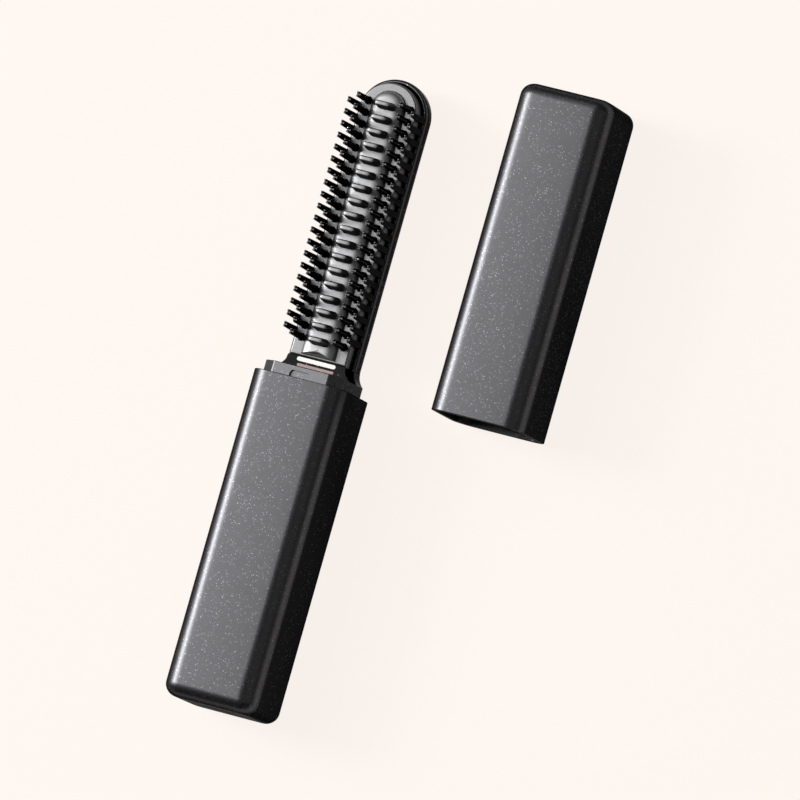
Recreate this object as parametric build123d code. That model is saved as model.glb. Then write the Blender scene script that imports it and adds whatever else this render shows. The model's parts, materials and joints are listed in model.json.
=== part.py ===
from build123d import *
import os
from math import sqrt

# A cordless hot comb with a pull-off cap. All sizes are in millimetres.
#
# Every piece is drawn about the handle's long axis, with y = 0 at the handle's open rim,
# +Y towards the comb's tip, +Z out of the comb's front and +X to its right. The last step
# moves all of them so that the origin is in the middle of the handle's flat back, and the
# comb lies on its back on the plane z = 0 with its cap beside it.

# ---- Driving dimensions ----

# Casing: the handle sleeve and the cap share one outer section
case_side = 30.0
case_corner = 5.6
case_end_round = 4.0
case_wall = 2.0
handle_end_wall = 2.6
cap_end_wall = 3.0
cap_tip_room = 2.9         # between the comb's tip and the inside of the cap's end
cap_beside = 56.5          # from the handle's axis to the cap's axis
cap_ahead = 1.0            # the cap's rim lies this far past the handle's rim
liner_wall = 0.8
liner_mouth = 1.0          # the liner starts this far past the neck

# Collar that the cap pushes over
collar_chamfer = 3.85
collar_height = 3.5
collar_top_wall = 2.0
collar_wall = 2.0
spigot_depth = 14.0
ear_radius = 3.0
ear_height = 2.3
latch_width = 6.4
latch_height = 2.14
latch_depth = 0.7
latch_round = 1.0
bump_height = 0.5
bump_gap = 0.35            # around the cap's bump in the recess

# Comb head, a tongue with straight sides and a half-round tip
head_half = 11.0
head_arc_y = 84.1          # centre of the half-round tip
head_back = -10.5
head_back_round = 3.3
head_wall = 1.7
head_floor = 1.8
lip_z = -3.1
lip_height = 2.0
key_wall = 0.7             # ridge under the tooth frame, keyed into the trough's wall
key_depth = 1.0
rest_rib_count = 5
rest_rib_length = 1.6

# Neck between the collar and the comb head
neck_rise = 4.0            # from the collar to the neck's top
neck_front_margin = 0.3    # the neck's front is this much wider than the plate, each side
neck_flare = 1.5           # its sides curve out this far down to the collar
neck_front_step = 0.2      # the front's foot is this much narrower than the back's, each side
neck_base_back = -12.2
neck_corner = 3.0
neck_block_length = 3.0
wire_way_width = 7.0
wire_way_height = 3.0
wire_way_z = -6.8
root_wall = 1.4
root_depth = 3.0
head_screw_land = 0.8      # between the root's opening and the heads of the screws beside it

# Heat plate with its ridge and fins
plate_gap = 0.2            # between the plate's skirt and the tooth frame
plate_front = 1.15
plate_thickness = 2.0
plate_skirt_wall = 1.0
plate_edge = 0.35
plate_end_gap = 0.15       # between the neck and the plate's lower end
ridge_row_gap = 1.35       # from the ridge's foot to the middle of the inner teeth
ridge_height = 2.3
ridge_taper = 16.0         # degrees that its flanks lean in
ridge_round = 0.9
ridge_arc_lead = 1.2       # its round end's centre lies this far past the plate's
scoop_base_radius = 8.5
scoop_top_radius = 10.2
fin_pitch = 4.288
fin_lead = 1.6             # the first fin lies this far past the tip's centre
fin_inset = 2.5            # from the ridge's foot to the fin's end
fin_thickness = 2.45
fin_height = 4.7
fin_taper = 6.0
fin_edge = 0.35
fin_corner = 0.75

# Teeth
tooth_pitch = 3.655
tooth_fork_floor = 0.2
tooth_fork_mouth = 0.7
tooth_fork_depth = 0.8
tooth_corner = 0.29        # share of the tooth's width cut off each corner
inner_lead = 2.2
inner_inset = 2.3          # from the plate's edge to the middle of the inner teeth
inner_base = (2.1, 2.1)    # across the head, along the head
inner_tip = (1.1, 1.75)
inner_top = 11.7
tooth_hole = 2.5
rail_width = 2.4
rail_height = 1.8
outer_lead = 0.4
outer_inset = 0.88         # from the head's side to the middle of the outer teeth
outer_base = (1.4, 2.2)
outer_tip = (0.9, 1.72)
outer_top = 9.3
bare_length = 5.2          # plain stretch between the neck and the lowest fin or tooth

# Heater stack under the plate
heater_side_room = 1.4     # between the heater and the rails of the inner teeth
heater_thickness = 2.0
heater_ceiling = 0.9
heater_end_room = 2.1      # from the heater's upper end to the tip's centre
heater_tab = (1.4, 2.2, 0.4)      # wide, long, thick
heater_tab_inset = 0.2     # from the heater's side and from its underside
boss_radius = 2.2
boss_inset = 5.0           # from the neck to the lower boss
boss_lead = 2.5            # the upper boss lies this far past the tip's centre
retainer_thickness = 0.8
lead_window = (2.4, 4.0)   # openings for the heater's leads, across and along the head
lead_radius = 0.6
lead_spacing = 1.5         # between the middles of the two leads of a pair
lead_bend = 1.0            # a bend starts this far from its corner
lead_solder_inset = 1.3    # from the heater's lower end to the middle of its leads
lead_gather = 1.1          # the leads come together this far past the neck's block
lead_loop = 1.4            # from the board's face out to the leads that run along it
lead_landing = 3.1         # from the bend over the board's edge to where the leads end on it
fuse_radius = 1.9
fuse_length = 10.0
fuse_inset = 26.5
thermistor_size = (3.0, 6.0, 1.8)
thermistor_edge = 0.5
thermistor_inset = 44.5

# Light bar in the neck's front
lens_width = 12.5
lens_height = 1.3
lens_inset = 0.8           # from the neck's top to the bar's middle
lens_proud = 0.15
lower_lens_width = 11.8
lower_lens_height = 0.9
lower_lens_inset = 2.55
led_board_half = 6.4
led_board_thickness = 0.8
led_board_z = -1.9
led_board_inset = 0.55     # from the neck's top to the board's pocket
led_size = (1.6, 0.8, 0.5)
led_spacing = 4.0

# Cell, boards and charging socket
cell_radius = 9.1
cell_length = 65.0
cell_nub_radius = 3.0
cell_nub_height = 1.0
cell_side_wall = 1.0       # chassis wall beside the cell's channel
cell_end_room = 1.2        # between the cell's terminal and the bulkhead
tab_width = 5.0
tab_thickness = 0.3
tab_leg = 3.0
pad_thickness = 1.0
bulkhead = 4.5
lower_web = 1.5
web = 1.15                 # chassis wall between the cell and the control board
board_thickness = 1.0
board_half = 10.2
board_inset = 0.5          # the board ends this far inside the cell's ends
board_screw_insets = (10.0, 14.0)      # below the button's middle, and from the lower end
chip = (7.0, 7.0, 1.2)     # along the handle, across it, tall
small_chip = (4.0, 3.0, 1.0)
coil = (8.0, 8.0, 3.0)
capacitor = (3.2, 2.6, 1.4)
charge_board_half = 9.6
charge_board_length = 9.3
charge_board_thickness = 0.8
socket_width = 8.94
socket_height = 3.16
socket_length = 7.35
socket_shell = 0.3
socket_recess = 0.3
socket_back_wall = 1.0
contact_blade = (6.7, 0.7, 5.0)        # wide, thick, long
charge_lead_radius = 0.5
charge_lead_z = 4.4        # the first charging lead's height where it runs along the handle
charge_lead_insets = (2.2, 3.0)        # on the charging board, from its side and its inner end
charge_lead_reach = 3.7    # how far the leads run up the control board

# Power button on the left side, and its switch
button_inset = 12.0        # from the chassis's upper end to the button's middle
button_length = 12.0
button_width = 5.5
button_sunk = 0.2
button_edge = 0.4
button_flange = 1.1
flange_thickness = 0.8
window_chamfer = 0.4
plunger_radius = 1.5
plunger_overlap = 0.8      # how far the plunger reaches into the switch at rest
switch_side = 6.0
switch_height = 2.0
switch_floor = 0.4

# Fasteners
screw_radius = 0.95
screw_head_radius = 1.8
screw_head_height = 1.2
screw_hole_gap = 0.25
screw_bite = 4.0           # length that a screw holds in the piece it clamps to
screw_relief = 0.5         # room past the screw's end
sink = 0.3                 # how far a boss, rib or chip is drawn into what it grows from

# Clearances
cap_gap = 0.275            # between the collar and the inside of the cap
fit_gap = 0.15             # around a piece in the sleeve or pocket that it drops into
snug_gap = 0.05            # around a lens in its window, or a screw in its hole
button_gap = 0.15          # around the button in its window
flange_gap = 0.1           # between the button's flange and the wall it rests behind
plunger_gap = 0.1          # around the plunger in the switch
socket_gap = 0.15          # around the socket in the end wall
liner_gap = 0.1            # between the liner and the cap

# ---- Sizes that follow from them ----

case_half = case_side / 2
bore_side = case_side - 2 * case_wall
bore_half = bore_side / 2
bore_corner = case_corner - case_wall
inner_side = bore_side - 2 * fit_gap
inner_corner = bore_corner - fit_gap
collar_side = bore_side - 2 * cap_gap

neck_top = collar_height + neck_rise
tip_y = head_arc_y + head_half
plate_half = head_half - head_wall - plate_gap
neck_front_half = plate_half + neck_front_margin
neck_base_half = head_half + neck_flare
neck_front_base_half = neck_base_half - neck_front_step
inner_x = plate_half - inner_inset
outer_x = head_half - outer_inset
ridge_half = inner_x - ridge_row_gap
fin_length = 2 * (ridge_half - fin_inset)
heater_width = 2 * (inner_x - rail_width / 2 - heater_side_room)
frame_seam = lip_z - lip_height
plate_skirt_low = frame_seam
plate_low = neck_top + plate_end_gap
plate_under = plate_front - plate_thickness
pocket_half = plate_half - plate_skirt_wall
pocket_low = plate_low + plate_skirt_wall
crown = plate_front + ridge_height
ridge_arc_y = head_arc_y + ridge_arc_lead
retainer_top = plate_under - rail_height
retainer_low = retainer_top - retainer_thickness
boss_places = (neck_top + boss_inset, head_arc_y + boss_lead)
heater_low = boss_places[0] + boss_radius + heater_tab[1]
heater_high = head_arc_y - heater_end_room
led_top = led_board_z + led_board_thickness
lens_back = led_top + led_size[2] + fit_gap

bulkhead_low = -spigot_depth - bulkhead
cell_top_y = bulkhead_low - cell_end_room
cell_low_y = cell_top_y - cell_length
lower_web_y = cell_low_y - tab_thickness - pad_thickness
bay_top = lower_web_y - lower_web
handle_depth = charge_board_length + 4 * fit_gap - bay_top
handle_length = handle_depth + handle_end_wall
chassis_low = -handle_depth + fit_gap
cap_depth = tip_y + cap_tip_room
cell_x = inner_side / 2 - cell_side_wall - fit_gap - cell_radius
board_right_x = cell_x - cell_radius - fit_gap - web
board_left_x = board_right_x - board_thickness
board_top_y = cell_top_y - board_inset
board_low_y = cell_low_y + board_inset
charge_board_top = -socket_height / 2
charge_board_low = -handle_depth + 2 * fit_gap
charge_solder_y = charge_board_low + charge_board_length - charge_lead_insets[1]
button_y = -spigot_depth - button_inset
flange_x = -bore_half + flange_gap
flange_inside_x = flange_x + flange_thickness

ear_place = inner_side / 2 - collar_wall - screw_head_radius - fit_gap
collar_screw_places = [(ear_place, ear_place), (-ear_place, -ear_place)]
head_screw_x = wire_way_width / 2 + root_wall + fit_gap + screw_head_radius + head_screw_land
head_screw_places = [(head_screw_x, wire_way_z), (-head_screw_x, wire_way_z)]
board_screw_z = board_half - screw_head_radius
board_screw_places = [(button_y - board_screw_insets[0], board_screw_z),
                      (board_low_y + board_screw_insets[1], -board_screw_z)]


def column(first_y, pitch):
    """Places down the head, from the first towards the neck, above its bare stretch."""
    room = first_y - (neck_top + bare_length)
    return [first_y - pitch * index for index in range(int(room / pitch) + 1)]


fin_places = column(head_arc_y + fin_lead, fin_pitch)
inner_places = column(head_arc_y + inner_lead, tooth_pitch)
outer_places = column(head_arc_y + outer_lead, tooth_pitch)


# ---- Drawing helpers ----

def along_x(outline, low, high):
    """Extrude an outline drawn in y and z."""
    return extrude(Plane.YZ.offset(low) * outline, high - low)


def along_y(section, low, high):
    """Extrude a section drawn in x and z."""
    return extrude(Plane.XZ.offset(-high) * section, high - low)


def along_z(outline, low, high, lean=0.0):
    """Extrude an outline drawn in x and y, its sides leaning in by an angle."""
    return extrude(Plane.XY.offset(low) * outline, high - low, taper=lean)


def block(x, y, z):
    """A box from its (low, high) pairs."""
    pairs = (x, y, z)
    middle = [(low + high) / 2 for low, high in pairs]
    return Pos(*middle) * Box(*[high - low for low, high in pairs])


def tongue(half_width, low_y, arc_y):
    """Outline of a strip with a half-round end as wide as itself."""
    strip = Pos(0, (low_y + arc_y) / 2) * Rectangle(2 * half_width, arc_y - low_y)
    return strip + Pos(0, arc_y) * Circle(half_width)


def octagon(width, length, cut):
    """A rectangle with its corners cut off at 45 degrees."""
    return chamfer(Rectangle(width, length).vertices(), cut)


def end_edges(solid, axis, which):
    """Edges of the solid's last (-1) or first (0) face along an axis."""
    return solid.faces().sort_by(axis)[which].edges()


def screw(length):
    """A hexagon-head screw on +Z, its head's underside at the origin and its shank below."""
    head = along_z(RegularPolygon(screw_head_radius, 6), 0, screw_head_height)
    return head + along_z(Circle(screw_radius), -length, 0)


def lead(corners, radius):
    """An insulated lead along straight runs, eight-sided and with each bend in two steps."""
    corners = [Vector(*corner) for corner in corners]
    points = [corners[0]]
    for before, corner, after in zip(corners, corners[1:], corners[2:]):
        points.append(corner + (before - corner).normalized() * lead_bend)
        points.append(corner + (after - corner).normalized() * lead_bend)
    path = Polyline(*points, corners[-1])
    section = Plane(origin=path @ 0, z_dir=path % 0) * RegularPolygon(radius, 8)
    return sweep(section, path=path, transition=Transition.RIGHT)


def combine(pieces):
    """Separate solids as one shape."""
    return Compound([solid for piece in pieces for solid in piece.solids()])


# ---- Casing ----

def sleeve(depth, end_wall):
    """A rounded square tube, open at y = 0 and closed at its +Y end."""
    outside = along_y(RectangleRounded(case_side, case_side, case_corner), 0, depth + end_wall)
    outside = fillet(end_edges(outside, Axis.Y, -1), case_end_round)
    return outside - along_y(RectangleRounded(bore_side, bore_side, bore_corner), 0, depth)


def button_window():
    """The pill-shaped hole in the left wall, its outer edge broken."""
    hole = SlotOverall(button_length + 2 * button_gap, button_width + 2 * button_gap)
    cut = along_x(Pos(button_y, 0) * hole, -case_half, -bore_half + 1)
    mouth = Plane.YZ.offset(-case_half) * Pos(button_y, 0) * offset(hole, window_chamfer)
    return cut + extrude(mouth, window_chamfer, taper=45)


def handle_shell():
    """Handle sleeve with the button's window and the charging socket's slot."""
    shell = mirror(sleeve(handle_depth, handle_end_wall), about=Plane.XZ)
    slot = SlotOverall(socket_width + 2 * socket_gap, socket_height + 2 * socket_gap)
    return shell - button_window() - along_y(slot, -handle_length - 1, -handle_depth + 1)


def cap_shell():
    """Cap with the bump that drops into the collar's latch recess."""
    bump_length = latch_width - 2 * bump_gap
    bump_width = latch_height - 2 * bump_gap
    bump = Pos(0, latch_height / 2) * SlotOverall(bump_length, bump_width)
    bump = along_z(bump, bore_half - bump_height, bore_half + sink)
    return sleeve(cap_depth, cap_end_wall) + bump


def cap_liner():
    """Heat-resistant sleeve inside the cap, clear of the collar at the mouth."""
    side = bore_side - 2 * liner_gap
    corner = bore_corner - liner_gap
    end = cap_depth - liner_gap
    outside = along_y(RectangleRounded(side, side, corner), neck_top + liner_mouth, end)
    room = side - 2 * liner_wall
    inside = RectangleRounded(room, room, corner - liner_wall)
    return outside - along_y(inside, neck_top + liner_mouth, end - liner_wall)


# ---- Collar ----

def latch_recess():
    """Shallow pocket in the collar's front face, round at its upper corners."""
    outline = Pos(0, latch_height / 2 - 0.5) * Rectangle(latch_width, latch_height + 1)
    outline = fillet(outline.vertices().group_by(Axis.Y)[-1], latch_round)
    face = collar_side / 2
    below = block((-latch_width, latch_width), (-spigot_depth, 0), (0, case_half))
    return along_z(outline, face - latch_depth, face + 1) - below


def collar():
    """Octagonal collar on a spigot that fills the handle's mouth."""
    body = along_y(RectangleRounded(inner_side, inner_side, inner_corner), -spigot_depth, 0)
    body += along_y(octagon(collar_side, collar_side, collar_chamfer), 0, collar_height)
    room = inner_side - 2 * collar_wall
    ceiling = collar_height - collar_top_wall
    body -= along_y(RectangleRounded(room, room, inner_corner - collar_wall), -spigot_depth, ceiling)
    for x, z in collar_screw_places:
        ear = along_y(Pos(x, z) * Circle(ear_radius), -spigot_depth, -spigot_depth + ear_height)
        hole = along_y(Pos(x, z) * Circle(screw_radius + screw_hole_gap), -spigot_depth, 0)
        body = body + ear - hole
    for x, z in head_screw_places:
        body -= along_y(Pos(x, z) * Circle(screw_radius + screw_hole_gap), ceiling, collar_height)
    root_width = wire_way_width + 2 * (root_wall + fit_gap)
    root_height = wire_way_height + 2 * (root_wall + fit_gap)
    root_hole = Pos(0, wire_way_z) * Rectangle(root_width, root_height)
    return body - along_y(root_hole, ceiling, collar_height) - latch_recess()


def collar_screws():
    """Screws through the collar's ears into the chassis."""
    top = -spigot_depth + ear_height
    turned = Rot(X=-90) * screw(ear_height + screw_bite)
    return combine([Pos(x, top, z) * turned for x, z in collar_screw_places])


# ---- Comb head ----

def flared(top_half, base_half):
    """Outline of the neck in x and y, its sides curving out towards the collar."""
    rise, spread = neck_top - collar_height, base_half - top_half
    radius = (rise ** 2 + spread ** 2) / (2 * spread)
    top_left, base_left = (-top_half, neck_top), (-base_half, collar_height)
    top_right, base_right = (top_half, neck_top), (base_half, collar_height)
    lines = Line(base_left, base_right) + RadiusArc(base_right, top_right, radius)
    lines += Line(top_right, top_left) + RadiusArc(top_left, base_left, radius)
    return make_face(lines)


def neck_block():
    """The flared body: wide behind the lip's level and as narrow as the plate before it."""
    rise, spread = neck_top - collar_height, head_back - neck_base_back
    radius = (rise ** 2 + spread ** 2) / (2 * spread)
    top_back, base_back = (neck_top, head_back), (collar_height, neck_base_back)
    side_on = Polyline(base_back, (collar_height, plate_front), (neck_top, plate_front), top_back)
    side_on = make_face(side_on + RadiusArc(top_back, base_back, radius))
    wide = along_z(flared(head_half, neck_base_half), neck_base_back, lip_z)
    narrow = along_z(flared(neck_front_half, neck_front_base_half), lip_z, plate_front)
    body = (wide + narrow) & along_x(side_on, -neck_base_half, neck_base_half)
    corners = body.edges().filter_by(lambda edge: edge.center().Z < head_back + sink)
    corners = corners.filter_by(lambda edge: abs(edge.center().X) > head_half - sink)
    return fillet(corners, neck_corner)


def neck():
    """Flared block that stands on the collar and carries the light bar."""
    body = neck_block()
    window = SlotOverall(lens_width + 2 * snug_gap, lens_height + 2 * snug_gap)
    body -= along_z(Pos(0, neck_top - lens_inset) * window, led_top, plate_front + 1)
    lower = Rectangle(lower_lens_width + 2 * snug_gap, lower_lens_height + 2 * snug_gap)
    body -= along_z(Pos(0, neck_top - lower_lens_inset) * lower, led_top, plate_front + 1)
    half = led_board_half + fit_gap
    return body - block((-half, half), (collar_height - 1, neck_top - led_board_inset),
                        (led_board_z - snug_gap, lens_back))


def head_trough():
    """Back shell of the comb head, open to the front and grooved for the tooth frame."""
    shell = along_z(tongue(head_half, neck_top, head_arc_y), head_back, frame_seam)
    back_edges = shell.faces().sort_by(Axis.Z)[0].edges()
    curved = back_edges.filter_by(lambda edge: edge.center().Y > neck_top + 0.1)
    shell = fillet(curved, head_back_round)
    room = tongue(head_half - head_wall, neck_top - 1, head_arc_y)
    shell -= along_z(room, head_back + head_floor, frame_seam)
    groove_side = (head_wall - key_wall) / 2 - snug_gap
    groove = tongue(head_half - groove_side, neck_top - 1, head_arc_y)
    groove -= tongue(head_half - head_wall + groove_side, neck_top - 2, head_arc_y)
    return shell - along_z(groove, frame_seam - key_depth - snug_gap, frame_seam)


def rest_ribs():
    """Ribs on the trough's inner walls that the plate's skirt stands on."""
    wall = head_half - head_wall
    spacing = (head_arc_y - neck_top) / rest_rib_count
    ribs = []
    for index in range(rest_rib_count):
        y = neck_top + spacing * (index + 0.5)
        for x in ((-wall - sink, -pocket_half + sink), (pocket_half - sink, wall + sink)):
            span = (y - rest_rib_length / 2, y + rest_rib_length / 2)
            ribs.append(block(x, span, (head_back + head_floor - sink, plate_skirt_low)))
    return ribs


def comb_housing():
    """Back shell, neck and the root that drops into the collar, moulded in one."""
    body = head_trough() + neck() + rest_ribs()
    wall = head_half - head_wall
    floor = head_back + head_floor
    body += block((-wall - sink, wall + sink), (neck_top - 1, neck_top + neck_block_length),
                  (floor - sink, plate_skirt_low - snug_gap))
    root = Rectangle(wire_way_width + 2 * root_wall, wire_way_height + 2 * root_wall)
    body += along_y(Pos(0, wire_way_z) * root, collar_height - root_depth, collar_height + 1)
    way = Pos(0, wire_way_z) * Rectangle(wire_way_width, wire_way_height)
    body -= along_y(way, collar_height - root_depth - 1, neck_top + neck_block_length + 1)
    for x, z in head_screw_places:
        hole = Pos(x, z) * Circle(screw_radius + snug_gap)
        body -= along_y(hole, collar_height, collar_height + screw_bite + screw_relief)
    return body


def head_screws():
    """Screws through the collar's top wall into the neck."""
    seat = collar_height - collar_top_wall
    turned = Rot(X=90) * screw(collar_top_wall + screw_bite)
    return combine([Pos(x, seat, z) * turned for x, z in head_screw_places])


# ---- Teeth ----

def tooth(base, tip, height):
    """A tapered tooth standing on z = 0, its corners cut and its tip forked along the head."""
    base_x, base_y, tip_x, tip_y = (size / 2 for size in (*base, *tip))
    floor, mouth = tooth_fork_floor / 2, tooth_fork_mouth / 2
    fork_z = height - tooth_fork_depth
    side_on = Polygon((-base_y, 0), (base_y, 0), (tip_y, height), (mouth, height), (floor, fork_z),
                      (-floor, fork_z), (-mouth, height), (-tip_y, height))
    end_on = Polygon((-base_x, 0), (base_x, 0), (tip_x, height), (-tip_x, height))
    body = along_x(side_on, -base_x, base_x) & along_y(end_on, -base_y, base_y)
    between_cuts = (base_x + base_y - min(base) * tooth_corner) * sqrt(2)
    turned = Rectangle(between_cuts, between_cuts, rotation=45)
    return body & along_z(turned, 0, height)


def tooth_frame():
    """Horseshoe that forms the head's lip, with the outer teeth on both legs."""
    wall = head_half - head_wall
    ring = tongue(head_half, neck_top, head_arc_y) - tongue(wall, neck_top - 1, head_arc_y)
    body = along_z(ring, frame_seam, lip_z)
    side = (head_wall - key_wall) / 2
    key = tongue(head_half - side, neck_top, head_arc_y)
    key -= tongue(wall + side, neck_top - 1, head_arc_y)
    body += along_z(key, frame_seam - key_depth, frame_seam)
    one = tooth(outer_base, outer_tip, outer_top - lip_z)
    return body + [Pos(x, y, lip_z) * one for y in outer_places for x in (-outer_x, outer_x)]


def inner_teeth(side):
    """A rail under the plate whose teeth stand up through the plate's holes."""
    span = (inner_places[-1] - rail_width / 2, inner_places[0] + rail_width / 2)
    strip = block((inner_x - rail_width / 2, inner_x + rail_width / 2), span,
                  (retainer_top, plate_under))
    room = tongue(pocket_half - fit_gap, pocket_low + fit_gap, head_arc_y)
    rail = strip & along_z(room, retainer_top, plate_under)
    one = tooth(inner_base, inner_tip, inner_top - plate_under)
    comb = rail + [Pos(inner_x, y, plate_under) * one for y in inner_places]
    return comb if side > 0 else mirror(comb, about=Plane.YZ)


# ---- Heat plate and what is clamped under it ----

def ridge():
    """Raised band along the plate, scooped at its lower end and carrying the fins."""
    band = along_z(tongue(ridge_half, plate_low, ridge_arc_y), plate_front, crown, ridge_taper)
    band = fillet(end_edges(band, Axis.Z, -1), ridge_round)
    slope = (scoop_top_radius - scoop_base_radius) / ridge_height
    reach = ridge_height + 2
    cone = Cone(scoop_base_radius - slope, scoop_base_radius + slope * (reach - 1), reach)
    return band - Pos(0, plate_low - scoop_base_radius, plate_front - 1 + reach / 2) * cone


def fins():
    """Cross fins that stand on the ridge's crown."""
    foot = octagon(fin_length, fin_thickness, fin_corner)
    fin = along_z(foot, crown - sink, crown + fin_height, fin_taper)
    fin = chamfer(end_edges(fin, Axis.Z, -1), fin_edge)
    return [Pos(0, y) * fin for y in fin_places]


def heat_plate():
    """Cast aluminium plate with a skirt, tooth holes, heater seat and screw bosses."""
    body = along_z(tongue(plate_half, plate_low, head_arc_y), plate_skirt_low, plate_front)
    body = chamfer(end_edges(body, Axis.Z, -1), plate_edge)
    pocket = tongue(pocket_half, pocket_low, head_arc_y)
    body -= along_z(pocket, plate_skirt_low, plate_under)
    body = body + ridge() + fins()
    seat_half = heater_width / 2 + fit_gap
    seat_low = heater_low - heater_tab[1] - fit_gap
    body -= block((-seat_half, seat_half), (seat_low, heater_high + fit_gap),
                  (plate_under - 1, heater_ceiling))
    for y in boss_places:
        body += along_z(Pos(0, y) * Circle(boss_radius), retainer_top, plate_under + sink)
        bore = Pos(0, y) * Circle(screw_radius + snug_gap)
        body -= along_z(bore, retainer_top, retainer_top + screw_bite + screw_relief)
    outline = octagon(tooth_hole, tooth_hole, tooth_hole * tooth_corner)
    hole = along_z(outline, plate_under - 1, plate_front + 1)
    return body - [Pos(x, y) * hole for y in inner_places for x in (-inner_x, inner_x)]


def heater_element():
    """Flat heater bar under the ridge, with a solder tab at each side of its lower end."""
    low_z = heater_ceiling - heater_thickness
    half = heater_width / 2
    body = block((-half, half), (heater_low, heater_high), (low_z, heater_ceiling))
    wide, long, thick = heater_tab
    tab_z = low_z + heater_tab_inset
    for x in (-half + heater_tab_inset, half - heater_tab_inset - wide):
        body += block((x, x + wide), (heater_low - long, heater_low + sink), (tab_z, tab_z + thick))
    return body


def heater_pad():
    """Fibre pad that presses the heater against the plate."""
    half = heater_width / 2
    return block((-half, half), (heater_low, heater_high),
                 (retainer_top, heater_ceiling - heater_thickness))


def retainer_plate():
    """Steel plate that holds the heater and both tooth rails up."""
    outline = tongue(pocket_half - fit_gap, pocket_low + fit_gap, head_arc_y)
    for y in boss_places:
        outline -= Pos(0, y) * Circle(screw_radius + screw_hole_gap)
    tab_x = heater_width / 2 - heater_tab[0] / 2 - heater_tab_inset
    for x in (-tab_x, tab_x):
        outline -= Pos(x, heater_low - lead_window[1] / 2) * Rectangle(*lead_window)
    return along_z(outline, retainer_low, retainer_top)


def retainer_screws():
    """Screws through the retainer plate into the plate's bosses."""
    turned = Rot(X=180) * screw(retainer_thickness + screw_bite)
    return combine([Pos(0, y, retainer_low) * turned for y in boss_places])


def thermal_fuse():
    """Round cut-out fuse lying under the retainer plate."""
    body = along_y(Circle(fuse_radius), -fuse_length / 2, fuse_length / 2)
    return Pos(0, neck_top + fuse_inset, retainer_low - fuse_radius - snug_gap) * body


def thermistor():
    """Flat temperature sensor under the retainer plate."""
    wide, long, thick = thermistor_size
    y = neck_top + thermistor_inset
    body = block((-wide / 2, wide / 2), (y - long / 2, y + long / 2),
                 (retainer_low - thick, retainer_low))
    return fillet(end_edges(body, Axis.Z, 0), thermistor_edge)


def heater_leads():
    """Two leads from the heater's tabs through neck and collar to the control board."""
    tab_x = heater_width / 2 - heater_tab[0] / 2 - heater_tab_inset
    tab_under = heater_ceiling - heater_thickness + heater_tab_inset
    solder_y = heater_low - lead_solder_inset
    gather_y = neck_top + neck_block_length + lead_gather
    over_y = bulkhead_low - fit_gap - lead_radius
    out_x = board_left_x - lead_loop
    leads = []
    for side in (-1, 1):
        z = wire_way_z - side * lead_spacing / 2
        leads.append(lead([(side * tab_x, solder_y, tab_under), (side * tab_x, solder_y, z),
                           (0, gather_y, z), (0, over_y, z), (out_x, over_y, z),
                           (out_x, over_y - lead_landing, z),
                           (board_left_x, over_y - lead_landing, z)], lead_radius))
    return combine(leads)


# ---- Light bar ----

def light_bar_lens():
    """White diffuser across the top of the neck's front."""
    outline = Pos(0, neck_top - lens_inset) * SlotOverall(lens_width, lens_height)
    return along_z(outline, lens_back, plate_front + lens_proud)


def light_bar_lip():
    """Narrow reflector strip below the diffuser, set just under flush."""
    outline = Pos(0, neck_top - lower_lens_inset) * Rectangle(lower_lens_width, lower_lens_height)
    return along_z(outline, lens_back, plate_front - lens_proud)


def led_board():
    """Small board with the indicator lamps, in the neck's pocket."""
    low_y, high_y = collar_height + fit_gap, neck_top - led_board_inset - fit_gap
    body = block((-led_board_half, led_board_half), (low_y, high_y), (led_board_z, led_top))
    wide, tall, thick = led_size
    y = (low_y + high_y) / 2
    for x in (-led_spacing, 0, led_spacing):
        body += block((x - wide / 2, x + wide / 2), (y - tall / 2, y + tall / 2),
                      (led_top - sink, led_top + thick))
    return body


# ---- Inside the handle ----

def chassis():
    """Moulded cradle that carries the cell and both boards inside the sleeve."""
    body = along_y(RectangleRounded(inner_side, inner_side, inner_corner), chassis_low, -spigot_depth)
    room = cell_radius + fit_gap
    channel = Pos(cell_x, 0) * Circle(room) + Pos(cell_x, case_half / 2) * Rectangle(2 * room, case_half)
    body -= along_y(channel, lower_web_y, bulkhead_low)
    slot_half = board_half + fit_gap
    body -= block((-case_half, board_right_x), (board_low_y - fit_gap, bulkhead_low),
                  (-slot_half, slot_half))
    body -= tab_ways()
    bay_half = charge_board_half + fit_gap
    body -= block((-bay_half, bay_half), (-handle_length, bay_top),
                  (charge_board_top - charge_board_thickness, case_half))
    for x, z in collar_screw_places:
        hole = Pos(x, z) * Circle(screw_radius + snug_gap)
        body -= along_y(hole, bulkhead_low, -spigot_depth)
    for y, z in board_screw_places:
        hole = Pos(y, z) * Circle(screw_radius + snug_gap)
        body -= along_x(hole, board_right_x, board_right_x + screw_bite + screw_relief)
    way = Pos(0, wire_way_z) * Rectangle(wire_way_width, wire_way_height)
    return body - along_y(way, bulkhead_low - 1, -spigot_depth) - lead_ways()


def tab_ways():
    """Notches that let the cell's tabs and its wires past the web beside the board."""
    half = tab_width / 2 + fit_gap
    x = (board_left_x - tab_thickness - fit_gap, cell_x)
    upper = block(x, (cell_top_y - fit_gap, bulkhead_low), (-half, half))
    lower = block(x, (lower_web_y, board_low_y), (-half, half))
    return [upper, lower]


def lead_ways():
    """Notches that let the heater's and the charging leads round to the board's outer face."""
    half = wire_way_height / 2
    over_edge = (bulkhead_low - 2 * (lead_radius + fit_gap), bulkhead_low)
    upper = block((-case_half, lead_radius + lead_bend), over_edge,
                  (wire_way_z - half, wire_way_z + half))
    room = charge_lead_radius + fit_gap
    lower = block((-case_half, board_left_x), (charge_solder_y - lead_spacing - room, board_low_y),
                  (charge_lead_z - room, charge_lead_z + lead_spacing + room))
    return [upper, lower]


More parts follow.
